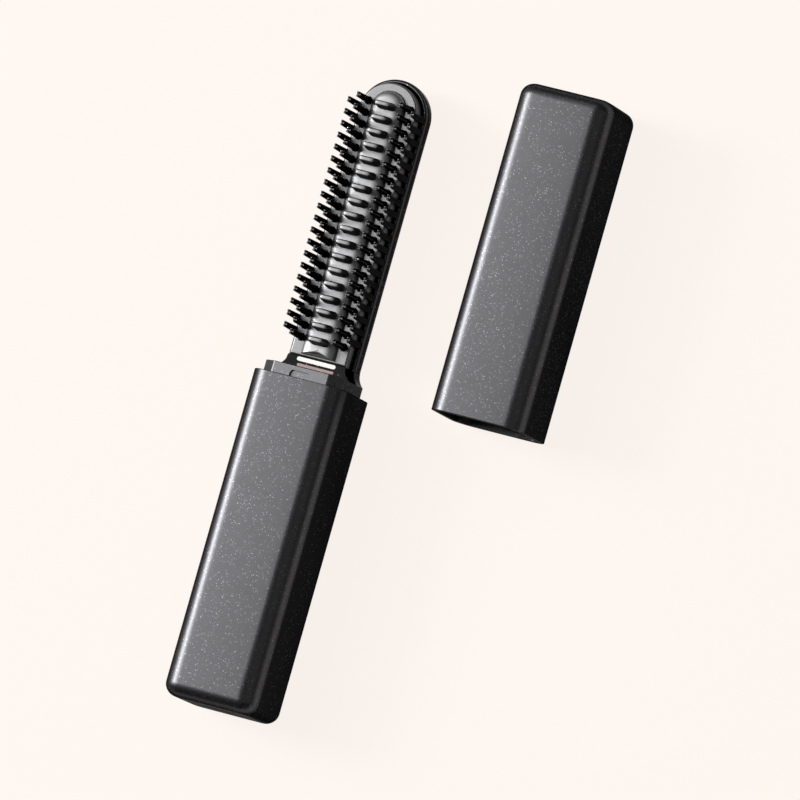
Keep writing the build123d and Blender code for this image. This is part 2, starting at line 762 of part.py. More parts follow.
def battery_cell():
    """Round lithium cell with a raised terminal."""
    can = along_y(Circle(cell_radius), cell_low_y, cell_top_y - cell_nub_height)
    return Pos(cell_x, 0) * (can + along_y(Circle(cell_nub_radius), cell_low_y, cell_top_y))


def battery_tabs():
    """Nickel strips from the cell's ends round to the board's outer face."""
    half = tab_width / 2
    far_x = board_left_x - tab_thickness
    pieces = []
    for y, way in ((cell_top_y, 1), (cell_low_y, -1)):
        outer = y + way * tab_thickness
        across = block((far_x, cell_x + half), tuple(sorted((y, outer))), (-half, half))
        along = tuple(sorted((outer, outer - way * tab_leg)))
        leg = block((far_x, board_left_x), along, (-half, half))
        pieces.append(across + leg)
    return combine(pieces)


def battery_pad():
    """Foam pad that takes up play at the cell's lower end."""
    side = cell_radius * sqrt(2) - 2 * fit_gap
    return Pos(cell_x, 0) * along_y(Rectangle(side, side), lower_web_y, lower_web_y + pad_thickness)


def main_board():
    """Control board with its coil, chips and capacitors on the outer face."""
    body = block((board_left_x, board_right_x), (board_low_y, board_top_y), (-board_half, board_half))
    laid_out = ((18, 4.2, chip), (30, -3.6, coil), (20, -5.6, small_chip), (40, 4.4, small_chip),
                (50, -3.5, capacitor), (50, 3.0, capacitor))
    for below, z, (long, wide, tall) in laid_out:
        y = button_y - below
        body += block((board_left_x - tall, board_left_x + sink), (y - long / 2, y + long / 2),
                      (z - wide / 2, z + wide / 2))
    for y, z in board_screw_places:
        body -= along_x(Pos(y, z) * Circle(screw_radius + screw_hole_gap), board_left_x, board_right_x)
    return body


def board_screws():
    """Screws that hold the control board to the chassis."""
    turned = Rot(Y=-90) * screw(board_thickness + screw_bite)
    return combine([Pos(board_left_x, y, z) * turned for y, z in board_screw_places])


def charge_board():
    """Small board that the charging socket is soldered to."""
    half = charge_board_half
    return block((-half, half), (charge_board_low, charge_board_low + charge_board_length),
                 (charge_board_top - charge_board_thickness, charge_board_top))


def charge_leads():
    """Two leads from the charging board up to the control board."""
    x = -charge_board_half + charge_lead_insets[0]
    out_x = board_left_x - lead_loop
    land_y = board_low_y + charge_lead_reach
    leads = []
    for step in (0, lead_spacing):
        y, z = charge_solder_y - step, charge_lead_z + step
        leads.append(lead([(x, y, charge_board_top), (x, y, z), (out_x, y, z),
                           (out_x, land_y, z), (board_left_x, land_y, z)], charge_lead_radius))
    return combine(leads)


def charge_socket():
    """Oblong metal shell with a contact blade, its mouth in the handle's end."""
    mouth = -handle_length + socket_recess
    end = mouth + socket_length
    body = along_y(SlotOverall(socket_width, socket_height), mouth, end)
    hollow = SlotOverall(socket_width - 2 * socket_shell, socket_height - 2 * socket_shell)
    back = end - socket_back_wall
    body -= along_y(hollow, mouth, back)
    wide, thick, long = contact_blade
    return body + block((-wide / 2, wide / 2), (back - long, back + sink), (-thick / 2, thick / 2))


# ---- Power button ----

def power_button():
    """Pill-shaped key with the flange that keeps it behind the wall."""
    face_x = -case_half + button_sunk
    key = along_x(Pos(button_y, 0) * SlotOverall(button_length, button_width), face_x, flange_x)
    key = chamfer(end_edges(key, Axis.X, 0), button_edge)
    rim = SlotOverall(button_length + 2 * button_flange, button_width + 2 * button_flange)
    return key + along_x(Pos(button_y, 0) * rim, flange_x, flange_inside_x)


def switch_plunger():
    """Actuator of the tactile switch, pressed by the button's flange."""
    switch_face = board_left_x - switch_height
    return along_x(Pos(button_y, 0) * Circle(plunger_radius), flange_inside_x,
                   switch_face + plunger_overlap)


def switch_base():
    """Body of the tactile switch on the board."""
    switch_face = board_left_x - switch_height
    half = switch_side / 2
    body = block((switch_face, board_left_x), (button_y - half, button_y + half), (-half, half))
    well = Pos(button_y, 0) * Circle(plunger_radius + plunger_gap)
    return body - along_x(well, switch_face, board_left_x - switch_floor)


# ---- Assembly ----

def in_cap(piece):
    """A piece drawn on the handle's axis, moved to where the cap lies."""
    return Pos(cap_beside, cap_ahead, 0) * piece


nodes = {
    "handle_shell": handle_shell(),
    "chassis": chassis(),
    "battery_cell": battery_cell(),
    "battery_tabs": battery_tabs(),
    "battery_pad": battery_pad(),
    "main_board": main_board(),
    "board_screws": board_screws(),
    "charge_board": charge_board(),
    "charge_leads": charge_leads(),
    "charge_socket": charge_socket(),
    "switch_base": switch_base(),
    "switch_plunger": switch_plunger(),
    "power_button": power_button(),
    "collar": collar(),
    "collar_screws": collar_screws(),
    "comb_housing": comb_housing(),
    "head_screws": head_screws(),
    "tooth_frame": tooth_frame(),
    "heat_plate": heat_plate(),
    "inner_teeth_left": inner_teeth(-1),
    "inner_teeth_right": inner_teeth(1),
    "heater_element": heater_element(),
    "heater_pad": heater_pad(),
    "heater_leads": heater_leads(),
    "retainer_plate": retainer_plate(),
    "retainer_screws": retainer_screws(),
    "thermal_fuse": thermal_fuse(),
    "thermistor": thermistor(),
    "light_bar_lens": light_bar_lens(),
    "light_bar_lip": light_bar_lip(),
    "led_board": led_board(),
    "cap_shell": in_cap(cap_shell()),
    "cap_liner": in_cap(cap_liner()),
}

os.makedirs("parts", exist_ok=True)
to_back_face = Pos(0, handle_length / 2, case_half)
for name, shape in nodes.items():
    export_step(to_back_face * shape, f"parts/{name}.step")
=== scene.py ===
# %% [markdown]
# # A cordless hot comb and its cap
#
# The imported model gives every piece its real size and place. This script gives the pieces their
# looks: smooth shells instead of facets, finishes worked out by formulas, and studio light.
# Shapes are worked out in millimetres, the unit of the drawing, and become metres only when a
# mesh is made.

# %% Load the frame
import json
import math

import bmesh
import bpy
import numpy as np
from mathutils import Matrix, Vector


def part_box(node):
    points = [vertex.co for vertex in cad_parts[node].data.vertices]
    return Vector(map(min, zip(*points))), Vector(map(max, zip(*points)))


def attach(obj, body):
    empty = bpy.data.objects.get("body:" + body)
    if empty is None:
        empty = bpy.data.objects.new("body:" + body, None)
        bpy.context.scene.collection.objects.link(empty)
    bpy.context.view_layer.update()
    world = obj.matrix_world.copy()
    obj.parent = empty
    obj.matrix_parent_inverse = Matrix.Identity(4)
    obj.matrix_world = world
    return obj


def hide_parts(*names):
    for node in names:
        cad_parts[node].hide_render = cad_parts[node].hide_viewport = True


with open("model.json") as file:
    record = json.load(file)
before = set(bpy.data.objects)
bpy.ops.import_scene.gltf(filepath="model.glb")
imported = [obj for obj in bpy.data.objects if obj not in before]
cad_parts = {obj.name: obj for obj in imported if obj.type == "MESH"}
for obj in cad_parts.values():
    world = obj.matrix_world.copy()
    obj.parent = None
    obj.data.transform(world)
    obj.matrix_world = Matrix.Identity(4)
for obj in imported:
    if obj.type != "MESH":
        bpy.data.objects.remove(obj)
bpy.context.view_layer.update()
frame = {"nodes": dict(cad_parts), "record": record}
MM = 0.001

# %% [markdown]
# ## Where things are
#
# Every place is read from the CAD nodes, so the looks follow the model when a piece is moved or
# grows. The handle's axis runs along y at the height of its middle, and its open rim is the level
# that the collar, the neck and the comb head are measured from.

# %% Read the places of the pieces
def corners(node):
    """Lowest and highest corner of a CAD node, in millimetres."""
    low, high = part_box(node)
    return np.array(low) / MM, np.array(high) / MM


handle_low, handle_high = corners("handle_shell")
cap_low, cap_high = corners("cap_shell")
collar_low, collar_high = corners("collar")
housing_low, housing_high = corners("comb_housing")
frame_low, frame_high = corners("tooth_frame")
plate_low, plate_high = corners("heat_plate")
inner_low, inner_high = corners("inner_teeth_right")
lens_high = corners("light_bar_lens")[1]
strip_high = corners("light_bar_lip")[1]
button_low, button_high = corners("power_button")

rim = handle_high[1]
axis_z = (handle_low[2] + handle_high[2]) / 2
case_half = (handle_high[0] - handle_low[0]) / 2
cap_x = (cap_low[0] + cap_high[0]) / 2
cap_rim = cap_low[1]
print("rim at y", round(rim, 2), "axis at z", round(axis_z, 2), "cap at x", round(cap_x, 2))

# %% [markdown]
# ## The camera
#
# A product is shown with a very long lens, so that its parallel edges stay parallel. An
# orthographic camera would do nearly the same, but a lens keeps the true, tiny perspective. The
# camera's three axes are worked out from the direction to the camera and from how far the handle
# leans from upright in the view. The distance follows from the lens and the width to be shown.

# %% Place the camera
TO_CAMERA = np.array([0.3247, -0.075, 0.9429])
LEAN = math.radians(15.8)         # the handle's axis from upright, in the view
SHOWN_WIDTH = 236.8               # the view's width at the object
AIM_ACROSS, AIM_ALONG = 26.4, 2.96   # middle of the view, from the middle of the rim
LENS, SENSOR = 600.0, 36.0

toward = TO_CAMERA / np.linalg.norm(TO_CAMERA)
along = np.array([0.0, 1.0, 0.0]) - toward[1] * toward
along /= np.linalg.norm(along)
across = np.cross(along, toward)
right = math.cos(LEAN) * across + math.sin(LEAN) * along
up = math.cos(LEAN) * along - math.sin(LEAN) * across
aim = np.array([0.0, rim, axis_z]) + AIM_ACROSS * across + AIM_ALONG * along
distance = SHOWN_WIDTH * LENS / SENSOR

camera_data = bpy.data.cameras.new("camera")
camera_data.lens = LENS
camera_data.sensor_width = SENSOR
camera_data.clip_end = 100.0
camera = bpy.data.objects.new("camera", camera_data)
bpy.context.scene.collection.objects.link(camera)
placed = np.eye(4)
placed[:3, 0], placed[:3, 1], placed[:3, 2] = right, up, toward
placed[:3, 3] = (aim + distance * toward) * MM
camera.matrix_world = Matrix(placed)
bpy.context.scene.camera = camera
print("camera", round(distance * MM, 2), "m away")

# %% [markdown]
# ## Shader maths as Python
#
# A material is a graph of nodes, which is hard to read as code. `Wire` wraps one output socket
# and gives it the operators of a number, so `1 - mask * 0.5` adds the Math nodes by itself. The
# reflected forms serve where the number comes first, as in `1 - mask`.

# %% Wires
class Wire:
    """One output of a node, used in expressions as if it were a number."""

    def __init__(self, finish, socket):
        self.finish, self.socket = finish, socket

    def math(self, operation, *others, swap=False):
        """A Math node on this value and the others, or on them in reverse order."""
        values = [self, *others]
        if swap:
            values.reverse()
        return self.finish.node("ShaderNodeMath", {"operation": operation},
                                dict(enumerate(values)))

    def __add__(self, other): return self.math("ADD", other)
    def __sub__(self, other): return self.math("SUBTRACT", other)
    def __mul__(self, other): return self.math("MULTIPLY", other)
    def __gt__(self, other): return self.math("GREATER_THAN", other)
    def __rsub__(self, other): return self.math("SUBTRACT", other, swap=True)
    def __lt__(self, other): return self.math("LESS_THAN", other)    # also for 0.5 > mask
    __radd__, __rmul__ = __add__, __mul__

    def smooth(self, low, high):
        """0 below low, 1 above high and a smooth step between."""
        return self.finish.node("ShaderNodeMapRange", {"interpolation_type": "SMOOTHSTEP"},
                                {"Value": self, "From Min": low, "From Max": high})


print("a wire takes + - * < and >")

# %% [markdown]
# ## One method for all other nodes
#
# A finish is a material with one surface shader. `node` is the only place where a node that isn't
# arithmetic is made: it takes the node's type, its settings, and a value or a wire for each
# socket. Noise, cells, mixes and bumps are built on it, with their sizes in millimetres. They all
# read Object coordinates, so a pattern stays fixed on its piece when the piece moves.

# %% Finishes
class Finish:
    """A material with one surface shader, its nodes made by a single method."""

    def __init__(self, name, **constants):
        self.material = bpy.data.materials.new(name)
        self.material.use_nodes = True
        self.tree = self.material.node_tree
        self.surface = self.tree.nodes["Principled BSDF"]
        self.place = self.node("ShaderNodeTexCoord", {}, {}, "Object")
        for socket, value in constants.items():
            self.surface.inputs[socket.replace("_", " ").title()
                                .replace("Ior", "IOR")].default_value = value

    def node(self, kind, settings, sockets, output=0):
        """A node of that kind, with its settings, its sockets' values or wires, and one output."""
        made = self.tree.nodes.new(kind)
        for key, value in settings.items():
            setattr(made, key, value)
        for key, value in sockets.items():
            if isinstance(value, Wire):
                self.tree.links.new(value.socket, made.inputs[key])
            else:
                made.inputs[key].default_value = value
        return Wire(self, made.outputs[output])

    def noise(self, size, detail=3.0, stretch=(1, 1, 1)):
        """Soft noise from 0 to 1 whose blotches are about that many millimetres wide."""
        scaled = self.node("ShaderNodeVectorMath", {"operation": "MULTIPLY"},
                           {0: self.place, 1: tuple(1.0 / s for s in stretch)})
        return self.node("ShaderNodeTexNoise", {},
                         {"Vector": scaled, "Scale": 1.0 / (size * MM), "Detail": detail})

    def cells(self, size):
        """Distance to the nearest of many scattered points, and two random numbers of its own."""
        settings = {"Vector": self.place, "Scale": 1.0 / (size * MM)}
        near = self.node("ShaderNodeTexVoronoi", {}, settings, "Distance")
        colour = self.node("ShaderNodeTexVoronoi", {}, settings, "Color")
        parts = [self.node("ShaderNodeSeparateColor", {}, {"Color": colour}, channel)
                 for channel in ("Red", "Green")]
        return near, *parts

    def mix(self, factor, first, second):
        """A colour between two colours."""
        sockets = {0: factor}
        for key, value in ((6, first), (7, second)):
            sockets[key] = value if isinstance(value, Wire) else (*value, 1.0)
        return self.node("ShaderNodeMix", {"data_type": "RGBA"}, sockets, 2)

    def bump(self, height, depth):
        """A normal that follows a height from 0 to 1, that many millimetres deep."""
        return self.node("ShaderNodeBump", {}, {"Height": height, "Distance": depth * MM})

    def feed(self, wires):
        """Connect wires to the surface shader's sockets."""
        for key, wire in wires.items():
            self.tree.links.new(wire.socket, self.surface.inputs[key])


print("patterns on Object coordinates: noise and cells")

# %% [markdown]
# ## Paint and plastic
#
# The casing is aluminium under a dark satin paint with fine glitter. A dark paint could be a
# diffuse colour under a clear gloss, but at a slant such a gloss mirrors the pale floor and washes
# the walls out. The metal model with a colour of a few hundredths is as dark from above, and its
# edge tint says how little it mirrors at a slant, so paint and black plastics are made with it. A
# glitter flake is one cell of a Voronoi pattern that a random number picks: a bright dot in the
# base colour. Fine noise in colour, roughness and height keeps every surface from being flat.

# %% Paint and plastic
BLACK = (0.0, 0.0, 0.0, 1.0)
PAINT_CLOUD, PAINT_GRAIN, PAINT_DEPTH = 6.0, 0.22, 0.004    # millimetres, as all sizes here
BLACK_CLOUD, PLAIN_CLOUD, GRAIN_DEPTH = 4.0, 3.0, 0.006
FINE_FLAKE, WIDE_FLAKE, MICA_FLAKE = 0.4, 0.8, 0.7          # from one flake to the next
FINE_SHARE, WIDE_SHARE, MICA_SHARE = 0.4, 0.32, 0.28        # how many cells hold a flake
FINE_RIM, WIDE_RIM, MICA_RIM = (0.16, 0.36), (0.06, 0.14), (0.1, 0.2)    # where it fades
PAINT_FLAKE, MICA = (0.62, 0.62, 0.65), (0.6, 0.6, 0.62)    # their colours


def glitter_paint(name, colour, roughness):
    """Satin dark paint: a faint cloudiness, fine grain, and glitter flakes of two sizes."""
    paint = Finish(name, metallic=1.0, specular_tint=BLACK)
    cloud = paint.noise(PAINT_CLOUD)
    grain = paint.noise(PAINT_GRAIN, 2.0)
    fine_near, fine_pick, fine_level = paint.cells(FINE_FLAKE)
    wide_near, wide_pick, wide_level = paint.cells(WIDE_FLAKE)
    fine = (fine_pick > 1 - FINE_SHARE) * (1 - fine_near.smooth(*FINE_RIM))
    fine = fine * fine_level * fine_level
    wide = (wide_pick > 1 - WIDE_SHARE) * (1 - wide_near.smooth(*WIDE_RIM))
    wide = wide * (wide_level * wide_level + 0.15)
    flake = (fine * 0.5 + wide).math("MINIMUM", 1.0)
    body = paint.mix(cloud * 0.25 + grain * 0.5, [c * 0.75 for c in colour],
                     [c * 1.3 for c in colour])
    paint.feed({
        "Base Color": paint.mix(flake, body, PAINT_FLAKE),
        "Roughness": grain * 0.08 + (roughness - 0.04),
        "Normal": paint.bump(grain, PAINT_DEPTH),
    })
    return paint.material


def black_plastic(name, reflect, roughness, grain_size, depth, edge=0.42):
    """Moulded black plastic with a fine skin, a faint change of gloss and a few mica flakes."""
    plastic = Finish(name, metallic=1.0, specular_tint=(edge, edge, edge, 1.0))
    skin = plastic.noise(grain_size)
    cloud = plastic.noise(BLACK_CLOUD)
    dark = (reflect * 0.85, reflect * 0.85, reflect * 0.88)
    light = (reflect * 1.15, reflect * 1.15, reflect * 1.18)
    near, pick, level = plastic.cells(MICA_FLAKE)
    flake = (pick > 1 - MICA_SHARE) * (1 - near.smooth(*MICA_RIM)) * level
    plastic.feed({
        "Base Color": plastic.mix(flake, plastic.mix(cloud, dark, light), MICA),
        "Roughness": cloud * 0.04 + skin * 0.03 + (roughness - 0.035),
        "Normal": plastic.bump(skin, depth),
    })
    return plastic.material


def plain_plastic(name, colour, roughness, grain_size=0.3, gloss=0.5):
    """Coloured plastic with a fine moulded grain."""
    plastic = Finish(name, specular_ior_level=gloss)
    grain = plastic.noise(grain_size, 2.0)
    cloud = plastic.noise(PLAIN_CLOUD)
    plastic.feed({
        "Base Color": plastic.mix(cloud, [c * 0.92 for c in colour], colour),
        "Roughness": grain * 0.1 + (roughness - 0.05),
        "Normal": plastic.bump(grain, GRAIN_DEPTH),
    })
    return plastic.material


print("flakes every", FINE_FLAKE, "and", WIDE_FLAKE, "mm in the paint")

# %% [markdown]
# ## Metal, board and cloth
#
# The heat plate is coated aluminium, blasted to a satin. Its ridge is painted brighter, as painted
# light that makes up for the light the rows of teeth block: a band between two heights, found from
# the z of Object coordinates, with a soft step at each end. Plated parts have fine lines along the
# way that they were rolled. Anisotropic gloss could show them, but it needs a direction that loose
# CAD triangles don't have, so the lines are noise stretched along one axis. The boards' copper
# tracks could be drawn one by one. They are seen only when the comb is open, so the borders of
# large Voronoi cells stand in for them. The fibre pad's weave is two sine waves, of which the
# higher one shows.

# %% Metal, board and cloth
BLAST_GRAIN, METAL_CLOUD, ROLLED_LINE = 0.12, 5.0, 0.08
PAINTED_LIGHT_START, PAINTED_LIGHT_END = 0.2, (0.1, 1.4)     # the brighter band's soft start, and its fade above it: painted light
LINE_DEPTH, TRACK_DEPTH, WEAVE_DEPTH = 0.003, 0.03, 0.1
TRACK_PITCH, TRACK_FROM, TRACK_SHARE = 1.4, 0.42, 0.65


def coated_metal(name, colour, roughness, tint, painted_light_heights, bright):
    """Satin metal with a fine blasted grain, painted brighter between two heights as painted
    light.
    """
    metal = Finish(name, metallic=1.0, specular_tint=(tint, tint, tint, 1.0))
    grain = metal.noise(BLAST_GRAIN, 2.0)
    cloud = metal.noise(METAL_CLOUD)
    height = metal.node("ShaderNodeSeparateXYZ", {}, {0: metal.place}, "Z")
    low, high = (z * MM for z in painted_light_heights)
    fade = [high + step * MM for step in PAINTED_LIGHT_END]
    # Painted light: the band between the two heights is made brighter, for light that the teeth
    # block.
    painted_light = height.smooth(low, low + PAINTED_LIGHT_START * MM) - height.smooth(*fade)
    satin = metal.mix(cloud * 0.6 + grain * 0.4, [c * 0.88 for c in colour],
                      [c * 1.1 for c in colour])
    metal.feed({
        "Base Color": metal.mix(painted_light, satin, [c * bright for c in colour]),
        "Roughness": cloud * 0.06 + grain * 0.08 + (roughness - 0.07),
        "Normal": metal.bump(grain, GRAIN_DEPTH),
    })
    return metal.material


def bare_metal(name, colour, roughness, stretch):
    """Plated or rolled metal with fine lines along one direction."""
    metal = Finish(name, metallic=1.0)
    lines = metal.noise(ROLLED_LINE, 2.0, stretch)
    metal.feed({
        "Base Color": metal.mix(lines, [c * 0.85 for c in colour], colour),
        "Roughness": lines * 0.12 + (roughness - 0.06),
        "Normal": metal.bump(lines, LINE_DEPTH),
    })
    return metal.material


def board_green(name):
    """Green solder mask with lighter copper tracks showing through as a fine maze."""
    board = Finish(name, roughness=0.35)
    near, pick, _ = board.cells(TRACK_PITCH)
    track = (near > TRACK_FROM) * (pick > 1 - TRACK_SHARE)
    board.feed({
        "Base Color": board.mix(track, (0.01, 0.075, 0.035), (0.03, 0.16, 0.07)),
        "Normal": board.bump(track, TRACK_DEPTH),
    })
    return board.material


def woven(name, light, dark, pitch):
    """A coarse weave: two families of ridges at right angles."""
    cloth = Finish(name, roughness=0.85)
    xy = [cloth.node("ShaderNodeSeparateXYZ", {}, {0: cloth.place}, k) for k in (0, 1)]
    waves = [(axis * (math.pi / (pitch * MM))).math("SINE").math("ABSOLUTE") for axis in xy]
    height = waves[0].math("MAXIMUM", waves[1])
    cloth.feed({
        "Base Color": cloth.mix(height, dark, light),
        "Normal": cloth.bump(height, WEAVE_DEPTH),
    })
    return cloth.material


print("blasted grain", BLAST_GRAIN, "mm, rolled lines", ROLLED_LINE, "mm")

# %% [markdown]
# ## Which part gets which finish
#
# Each material slot of the record becomes one material, with its colour and its roughness in one
# table, where they are easy to compare. A CAD node whose shape is right keeps its mesh, and only
# its material is changed here: that is every part inside the comb. The smooth pieces made below
# take theirs from the same table.

# %% The table of finishes
RIDGE_HEIGHT = 2.3                # of the plate's ridge over its front
# The ridge's heights, which plate_metal paints brighter as painted light.
painted_light_heights = (housing_high[2], housing_high[2] + RIDGE_HEIGHT)
FINISH_TABLE = (
    ("shell_paint", glitter_paint, dict(colour=(0.068, 0.068, 0.072), roughness=0.38)),
    ("collar_paint", glitter_paint, dict(colour=(0.115, 0.115, 0.119), roughness=0.44)),
    ("housing_black", black_plastic,
     dict(reflect=0.004, roughness=0.12, grain_size=0.25, depth=0.002, edge=0.465)),
    ("tooth_black", black_plastic,
     dict(reflect=0.042, roughness=0.15, grain_size=0.2, depth=0.002, edge=0.345)),
    # plate_metal's ridge band is painted light, 1.5 times brighter than the rest.
    ("plate_metal", coated_metal,
     dict(colour=(0.178, 0.178, 0.181), roughness=0.45, tint=0.2, painted_light_heights=painted_light_heights, bright=1.5)),
    ("button_black", black_plastic,
     dict(reflect=0.05, roughness=0.4, grain_size=0.2, depth=0.006)),
    ("lens_white", plain_plastic, dict(colour=(0.92, 0.88, 0.85), roughness=0.5, gloss=0.25)),
    ("lip_beige", plain_plastic, dict(colour=(0.3, 0.22, 0.19), roughness=0.4)),
    ("liner_plastic", black_plastic,
     dict(reflect=0.02, roughness=0.6, grain_size=0.4, depth=0.02)),
    ("chassis_plastic", plain_plastic, dict(colour=(0.05, 0.05, 0.053), roughness=0.55)),
    ("cell_wrap", plain_plastic, dict(colour=(0.03, 0.16, 0.4), roughness=0.35)),
    ("nickel", bare_metal, dict(colour=(0.66, 0.63, 0.58), roughness=0.3, stretch=(1, 12, 1))),
    ("steel", bare_metal, dict(colour=(0.58, 0.58, 0.6), roughness=0.32, stretch=(6, 1, 1))),
    ("circuit_board", board_green, {}),
    ("switch_plastic", plain_plastic, dict(colour=(0.04, 0.04, 0.042), roughness=0.5)),
    ("foam", plain_plastic, dict(colour=(0.05, 0.05, 0.052), roughness=0.9, grain_size=0.5)),
    ("ceramic", plain_plastic, dict(colour=(0.82, 0.8, 0.76), roughness=0.5)),
    ("fibre_pad", woven, dict(light=(0.78, 0.74, 0.62), dark=(0.5, 0.46, 0.36), pitch=0.8)),
    ("lead_sleeve", plain_plastic, dict(colour=(0.45, 0.03, 0.025), roughness=0.5)),
)
finishes = {name: make(name, **looks) for name, make, looks in FINISH_TABLE}
for part in frame["record"]["subparts"]:
    node = frame["nodes"][part["node"]]
    node.data.materials.clear()
    node.data.materials.append(finishes[part["material_slot"]])

# %% [markdown]
# ## Surfaces from two parameters
#
# A surface is a grid of points, rows by columns, worked out as one numpy array. It could be
# modelled by hand just as well, but a formula keeps to the drawing's sizes and puts the points
# where a round needs them. Where a row shrinks to a point, the equal vertices are merged
# afterwards, which closes the pole. The faces of the closed mesh are then turned outwards.

# %% Grids
MERGE_WITHIN = 2e-7               # metres


def quads(rows, columns):
    """Faces between the neighbours of a grid that is numbered row by row, its last column joined
    to its first."""
    row, column = np.meshgrid(np.arange(rows - 1), np.arange(columns), indexing="ij")
    following = (column + 1) % columns
    faces = [row * columns + column, row * columns + following,
             (row + 1) * columns + following, (row + 1) * columns + column]
    return np.stack(faces, axis=-1).reshape(-1, 4)


def sheet_of(points):
    """A grid of points (rows, columns, 3) with its faces; more leading axes are copies."""
    rows, columns = points.shape[-3:-1]
    copies = points.reshape(-1, rows * columns, 3)
    starts = np.arange(len(copies))[:, None, None] * rows * columns
    faces = quads(rows, columns)[None] + starts
    return copies.reshape(-1, 3), faces.reshape(-1, 4)


def mesh_of(name, sheets):
    """One closed mesh from several sheets in millimetres, merged where they meet."""
    starts = np.cumsum([0] + [len(points) for points, _ in sheets])
    points = np.concatenate([points for points, _ in sheets]) * MM
    faces = np.concatenate([faces + start for (_, faces), start in zip(sheets, starts)])
    mesh = bpy.data.meshes.new(name)
    mesh.from_pydata(points.tolist(), [], faces.tolist())
    work = bmesh.new()
    work.from_mesh(mesh)
    bmesh.ops.remove_doubles(work, verts=work.verts, dist=MERGE_WITHIN)
    bmesh.ops.recalc_face_normals(work, faces=work.faces)
    work.to_mesh(mesh)
    work.free()
    return mesh


print("a grid of 3 by 4 points has", len(quads(3, 4)), "faces")

# %% [markdown]
# ## From a mesh to a finished piece
#
# Every piece goes the same way: its sheets become one mesh, holes are cut, it is shaded smooth
# except at edges sharper than a limit, and it gets its finish and the body it moves with. Holes
# are cut with a Boolean, because a window through a curved wall has no simple grid, and its
# manifold solver keeps a closed mesh closed. Weighted normals let the large flats keep their
# direction, so that only the narrow rounds between them shade.

# %% Finished pieces
def open_edge_count(mesh):
    """How many edges don't have exactly two faces: a closed surface has none."""
    work = bmesh.new()
    work.from_mesh(mesh)
    count = sum(1 for edge in work.edges if len(edge.link_faces) != 2)
    work.free()
    return count


def cut(target, sheets):
    """Take a closed shape out of the target's mesh."""
    tool = bpy.data.objects.new("cutter", mesh_of("cutter", sheets))
    bpy.context.scene.collection.objects.link(tool)
    step = target.modifiers.new("cut", "BOOLEAN")
    step.object, step.operation, step.solver = tool, "DIFFERENCE", "MANIFOLD"
    bpy.context.view_layer.update()
    result = bpy.data.meshes.new_from_object(
        target.evaluated_get(bpy.context.evaluated_depsgraph_get()))
    target.modifiers.clear()
    result.materials.clear()
    old, target.data = target.data, result
    bpy.data.meshes.remove(old)
    bpy.data.objects.remove(tool)


def piece(name, sheets, body, slot, stands_for, cutters=(), sharp=35.0):
    """A finished object on its body: sheets made a mesh, holes cut, edges kept sharp, painted."""
    made = bpy.data.objects.new(name, mesh_of(name, sheets))
    bpy.context.scene.collection.objects.link(made)
    for cutter in cutters:
        cut(made, cutter)
    made.data.shade_smooth()
    made.data.set_sharp_from_angle(angle=math.radians(sharp))
    made.modifiers.new("keep flats flat", "WEIGHTED_NORMAL").keep_sharp = True
    made.data.materials.append(finishes[slot])
    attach(made, body)
    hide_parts(*stands_for)
    print(name, len(made.data.polygons), "faces, open edges", open_edge_count(made.data))


print("every new piece will print its faces and its open edges, which should be 0")

# %% [markdown]
# ## Outlines with soft corners
#
# Nothing moulded or drawn has a knife edge, and a thin line of light on a small round is what
# makes an edge look real. `soften` puts arcs at the corners of an open line, such as half of a
# cross-section. `rounded` goes all the way round a set of arc centres and keeps the outward
# normals, along which a profile is set in later. A bevel modifier would do it too, but less evenly
# where holes have been cut.

# %% Outlines
def soften(line, radii, steps):
    """A line through corners, each corner but the ends replaced by an arc of its radius.

    The arc's centre lies on the line that halves the corner, and its points blend the first and
    the last radius by the sines of the angle before and behind them."""
    line = np.asarray(line, float)
    parts = [line[:1]]
    for before, corner, after, radius in zip(line[:-2], line[1:-1], line[2:], radii):
        if radius == 0:
            parts.append(corner[None])
            continue
        back = (before - corner) / np.linalg.norm(before - corner)
        on = (after - corner) / np.linalg.norm(after - corner)
        half = math.acos(np.clip(back @ on, -1, 1)) / 2
        middle = corner + (back + on) / np.linalg.norm(back + on) * radius / math.sin(half)
        first = corner + back * radius / math.tan(half) - middle
        last = corner + on * radius / math.tan(half) - middle
        turn = math.pi - 2 * half
        share = np.linspace(0, 1, steps + 1)[:, None]
        arc = (np.sin((1 - share) * turn) * first + np.sin(share * turn) * last) / math.sin(turn)
        parts.append(middle + arc)
    parts.append(line[-1:])
    return np.concatenate(parts)


def rounded(centres, radius, steps=12):
    """Outline round a convex set of arc centres, anticlockwise: points and outward normals.

    Each centre's arc turns from the outward direction of the side before it to that of the side
    after it."""
    centres = np.asarray(centres, float)
    sides = np.roll(centres, -1, axis=0) - centres
    facing = np.arctan2(-sides[:, 0], sides[:, 1])
    start = np.roll(facing, 1)
    turn = (facing - start) % (2 * math.pi)
    angle = start[:, None] + turn[:, None] * np.linspace(0, 1, steps + 1)[None]
    normal = np.stack([np.cos(angle), np.sin(angle)], axis=-1)
    points = centres[:, None] + radius * normal
    return points.reshape(-1, 2), normal.reshape(-1, 2)


def rounded_box(width, height, radius, steps=12):
    """Outline of a rectangle with round corners, about the origin."""
    x, y = width / 2 - radius, height / 2 - radius
    return rounded([(x, -y), (x, y), (-x, y), (-x, -y)], radius, steps)


def pill(width, height, steps=16, along=1):
    """Outline of a strip with half-round ends, about the origin, its sides in that many parts."""
    x = np.linspace(-1, 1, along + 1) * (width - height) / 2
    x = np.concatenate([x, x[-2:0:-1]])
    return rounded(np.stack([x, 0 * x], axis=-1), height / 2, steps)


print("a pill's outline has", len(pill(2, 1)[0]), "points")

